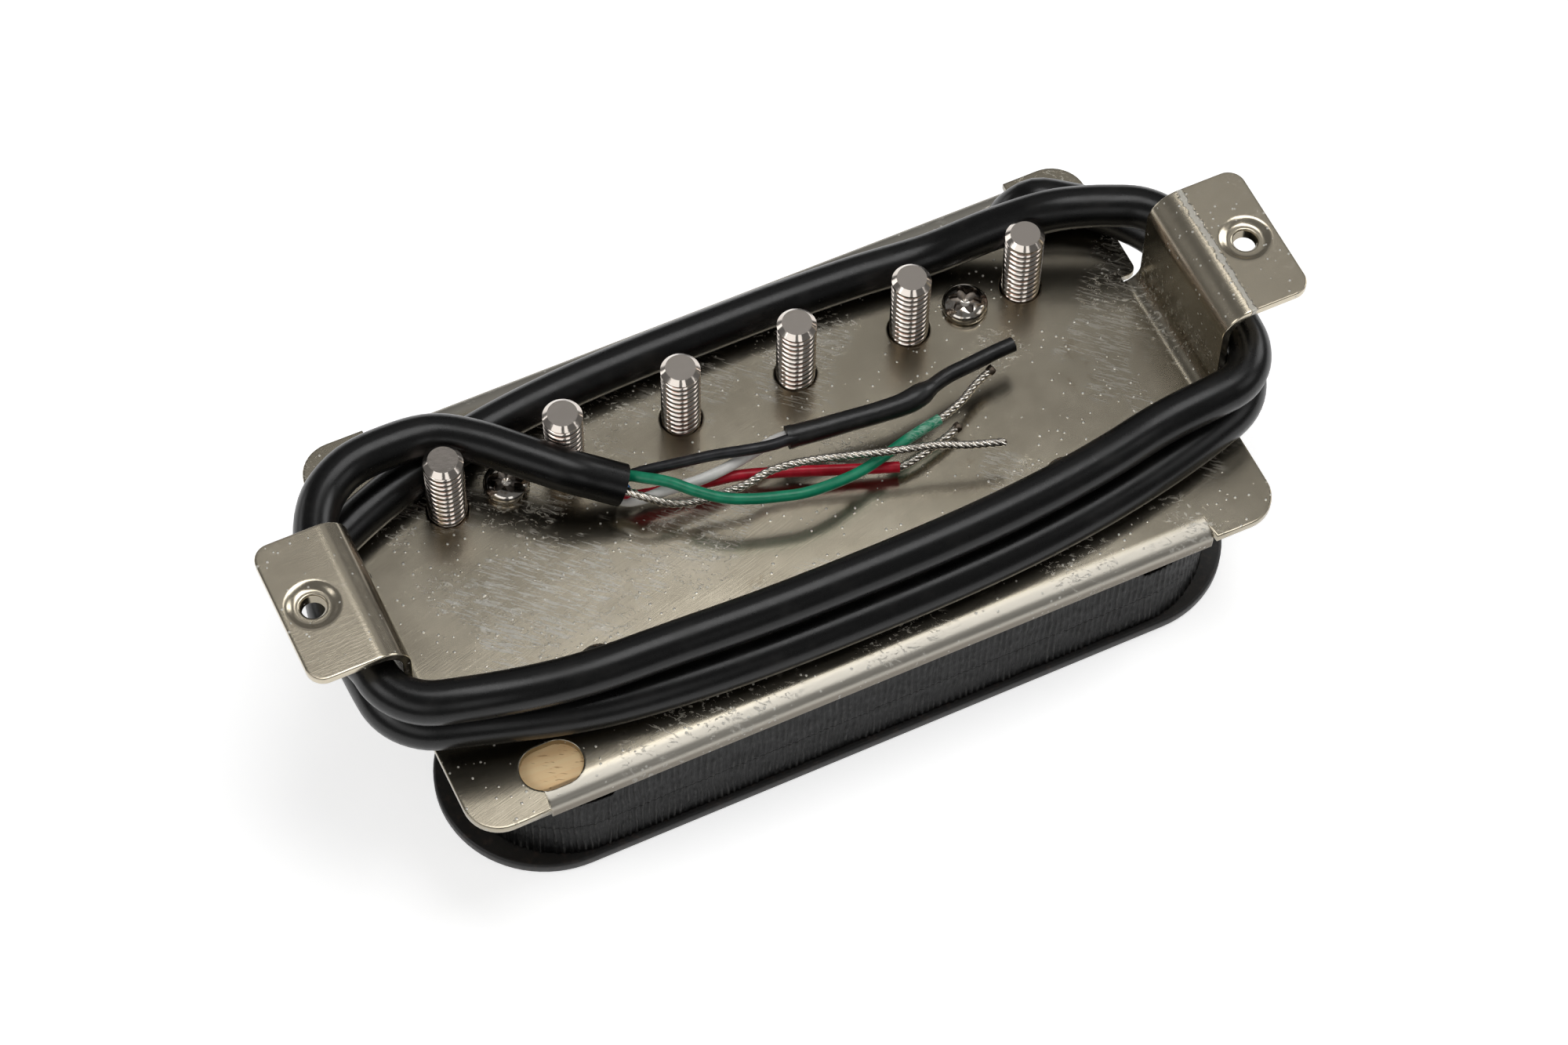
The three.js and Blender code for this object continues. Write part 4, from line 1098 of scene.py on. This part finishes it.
nickel, place, shader = finish("bright_nickel", Metallic=1.0)
across = ((place.part(0) / pole_pitch + 3).math("FRACT") - 0.5) * pole_pitch
girth = (across * across + (place.part(1) - row_y) ** 2) ** 0.5
in_groove = 1 - girth.step(screw_radius - 0.25, screw_radius - 0.12)
in_groove *= 1 - place.part(2).step(screw_tip - 0.5, screw_tip - 0.4)
warm = in_groove * place.grain(1.1, 2).step(0.35, 0.6)
link(shader, Base_Color=(warm * 0.8).mix(shade(214, 205, 196), shade(186, 98, 46)),
     Roughness=0.08 + 0.08 * place.grain(3.2, 4) + 0.15 * in_groove)
relief(shader, place.grain(2.0, 2), 0.01, 0.4)
end_tree(shank, nickel)


slot_edge = math.degrees(math.asin(slot_width / 2 / head_radius))
for index, x in enumerate(pole_xs):
    base = placed("stem", strand([Vector((0, 0, 0)), Vector((0, 0, 1))], 0))
    mesh = grown(screw, base, Radius=screw_radius * mm, Low=(head_top - head_overlap) * mm,
                 High=screw_tip * mm, Pitch=thread_pitch * mm, Depth=thread_depth * mm,
                 Tip_Radius=tip_radius * mm, Bevel=tip_bevel * mm, Thread_Start=thread_start * mm)
    mesh.transform(Matrix.Rotation(thread_turn * index, 4, "Z"))
    mesh.transform(Matrix.Translation((x * mm, row_y * mm, 0)))
    disc = slab(circle(x, row_y, head_radius), [], slot_top, head_top, head_bevel)
    halves = [slab(arc(x, row_y, head_radius, start, 180 - 2 * slot_edge, 24), [],
                   head_low, slot_top + disc_overlap, head_bevel)
              for start in (slot_edge, 180 + slot_edge)]
    node = f"pole_screw_{index + 1}"
    show(f"{node}_turned", merged(mesh, disc, *halves), nickel, [node], body=node)

# The six slug poles.
# Plain steel pins pressed into the other bobbin, flush with its face.
slug_radius, slug_bevel, slug_top = 2.4, 0.3, plate_under - 0.3


def lathe(profile, sides=48):
    """A turned mesh from (radius, height) pairs, closed at both ends on the axis"""
    vertices, faces, rows = [], [], []
    for radius, height in profile:
        ring = circle(0, 0, radius, sides) if radius else [(0, 0)]
        rows.append(range(len(vertices), len(vertices) + len(ring)))
        vertices += [(x, y, height) for x, y in ring]
    for low, high in zip(rows, rows[1:]):
        for i in range(sides):
            j = (i + 1) % sides
            corners = [low[i % len(low)], low[j % len(low)],
                       high[j % len(high)], high[i % len(high)]]
            faces.append(list(dict.fromkeys(corners)))
    return vertices, faces


places, points, piece, turn_step = tree_of("set_in_place", "Turn", Piece="Object")
source = points.node("ObjectInfo", {0: piece}, "Geometry")
index = points.node("InputIndex")
turned = points.node("CombineXYZ", {2: index * turn_step})
copies = points.node("InstanceOnPoints", {0: points, "Instance": source, "Rotation": turned})


def set_in_place(mesh, spots, turn):
    """Copies of one mesh at (x, y) places, as one mesh"""
    pattern = placed("pattern", mesh)
    marks = placed("marks", woven([(x, y, 0) for x, y in spots], []))
    mesh = grown(places, marks, Piece=pattern, Turn=turn)
    bpy.data.objects.remove(pattern)
    mesh.set_sharp_from_angle(angle=crease_angle)
    return mesh


slug_steel, place, shader = finish("slug_steel", Metallic=1.0)
turning = place.grain(4, 4, 0.6)
link(shader, Base_Color=turning.step(0.35, 0.7).mix(shade(150, 147, 142), shade(186, 183, 178)),
     Roughness=0.2 + 0.25 * turning)
relief(shader, turning, 0.01)
end_tree(copies, slug_steel)
slug_profile = [(0, 0), (slug_radius - slug_bevel, 0), (slug_radius, slug_bevel),
                (slug_radius, slug_top), (0, slug_top)]
slug_mesh = set_in_place(woven(*lathe(slug_profile)), [(x, -row_y) for x in pole_xs], 0.0)
show("slug_poles", slug_mesh, slug_steel, [f"slug_pole_{i + 1}" for i in range(6)])

# The four bobbin screws.
# Small bright pan-head screws with a six-lobe recess hold the bobbins to the plate.
pan_x, pan_radius, pan_height, pan_edge = 20.1, 1.85, 1.3, 0.55
lobe_outer, lobe_inner, lobe_depth = 1.32, 0.78, 0.65
pan_top, pan_turn = plate_top + pan_height, 0.5
shank_radius, shank_low = 1.05, plate_top - 8.4


def dome(radius):
    share = np.minimum(radius / pan_radius, 1)
    return plate_top + pan_edge + (pan_height - pan_edge) * np.sqrt(1 - share ** 2.6)


def pan_head(sides=96):
    """The head's dome with its recess, over a shank, about the origin"""
    angles = np.arange(sides) * math.tau / sides
    lobe = lobe_inner + (lobe_outer - lobe_inner) * (0.5 + 0.5 * np.cos(6 * angles)) ** 0.8
    floor, rim = pan_top - lobe_depth, lobe + 0.05
    rings = [(0.02, floor - 0.05), (lobe * 0.6, floor), (lobe * 0.95, floor + 0.03),
             (lobe * 0.99, floor + 0.15), (lobe, dome(lobe) - 0.08), (rim, dome(rim))]
    for share in (0.15, 0.3, 0.45, 0.6, 0.72, 0.82, 0.9, 0.96, 1.0):
        radius = rim + (pan_radius - rim) * share
        rings.append((radius, dome(radius)))
    rings += [(pan_radius, plate_top + pan_edge * 0.4), (pan_radius - 0.06, plate_top + 0.06),
              (pan_radius - 0.15, plate_top), (shank_radius, plate_top), (shank_radius, shank_low)]
    vertices = []
    for radius, height in rings:
        flat = np.broadcast(radius, height, angles)
        vertices += [(r * math.cos(a), r * math.sin(a), z) for r, z, a in flat]
    faces = [[low + i, low + sides + i, low + sides + (i + 1) % sides, low + (i + 1) % sides]
             for low in range(0, len(vertices) - sides, sides) for i in range(sides)]
    faces.append(list(range(sides)))
    faces.append(list(range(len(vertices) - sides, len(vertices)))[::-1])
    return vertices, faces


chrome, place, shader = finish("screw_chrome", Metallic=1.0)
smear = place.grain(2.0, 4, 0.6)
plated = smear.step(0.45, 0.75).mix(shade(214, 208, 200), shade(166, 150, 132))
off_x = place.part(0).math("ABSOLUTE") - pan_x
off_y = place.part(1).math("ABSOLUTE") - row_y
from_axis = (off_x * off_x + off_y * off_y) ** 0.5
# The six-lobe recess is painted dark brown: painted shade in the hollow.
recess = 1 - place.part(2).step(pan_top - 0.45, pan_top - 0.25)
recess *= from_axis.step(0.3, 0.42) * (1 - from_axis.step(lobe_outer, lobe_outer + 0.1))
link(shader, Base_Color=(recess * 0.85).mix(plated, shade(52, 42, 34)),
     Roughness=0.06 + 0.14 * smear + 0.2 * recess)
relief(shader, place.grain(1.1, 2), 0.02, 0.5)
pan_places = [(x, y) for x in (-pan_x, pan_x) for y in (-row_y, row_y)]
pan_mesh = set_in_place(woven(*pan_head()), pan_places, pan_turn)
show("bobbin_screws", pan_mesh, chrome, [
    f"bobbin_screw_{side}_{end}" for side in ("back", "front") for end in ("left", "right")])
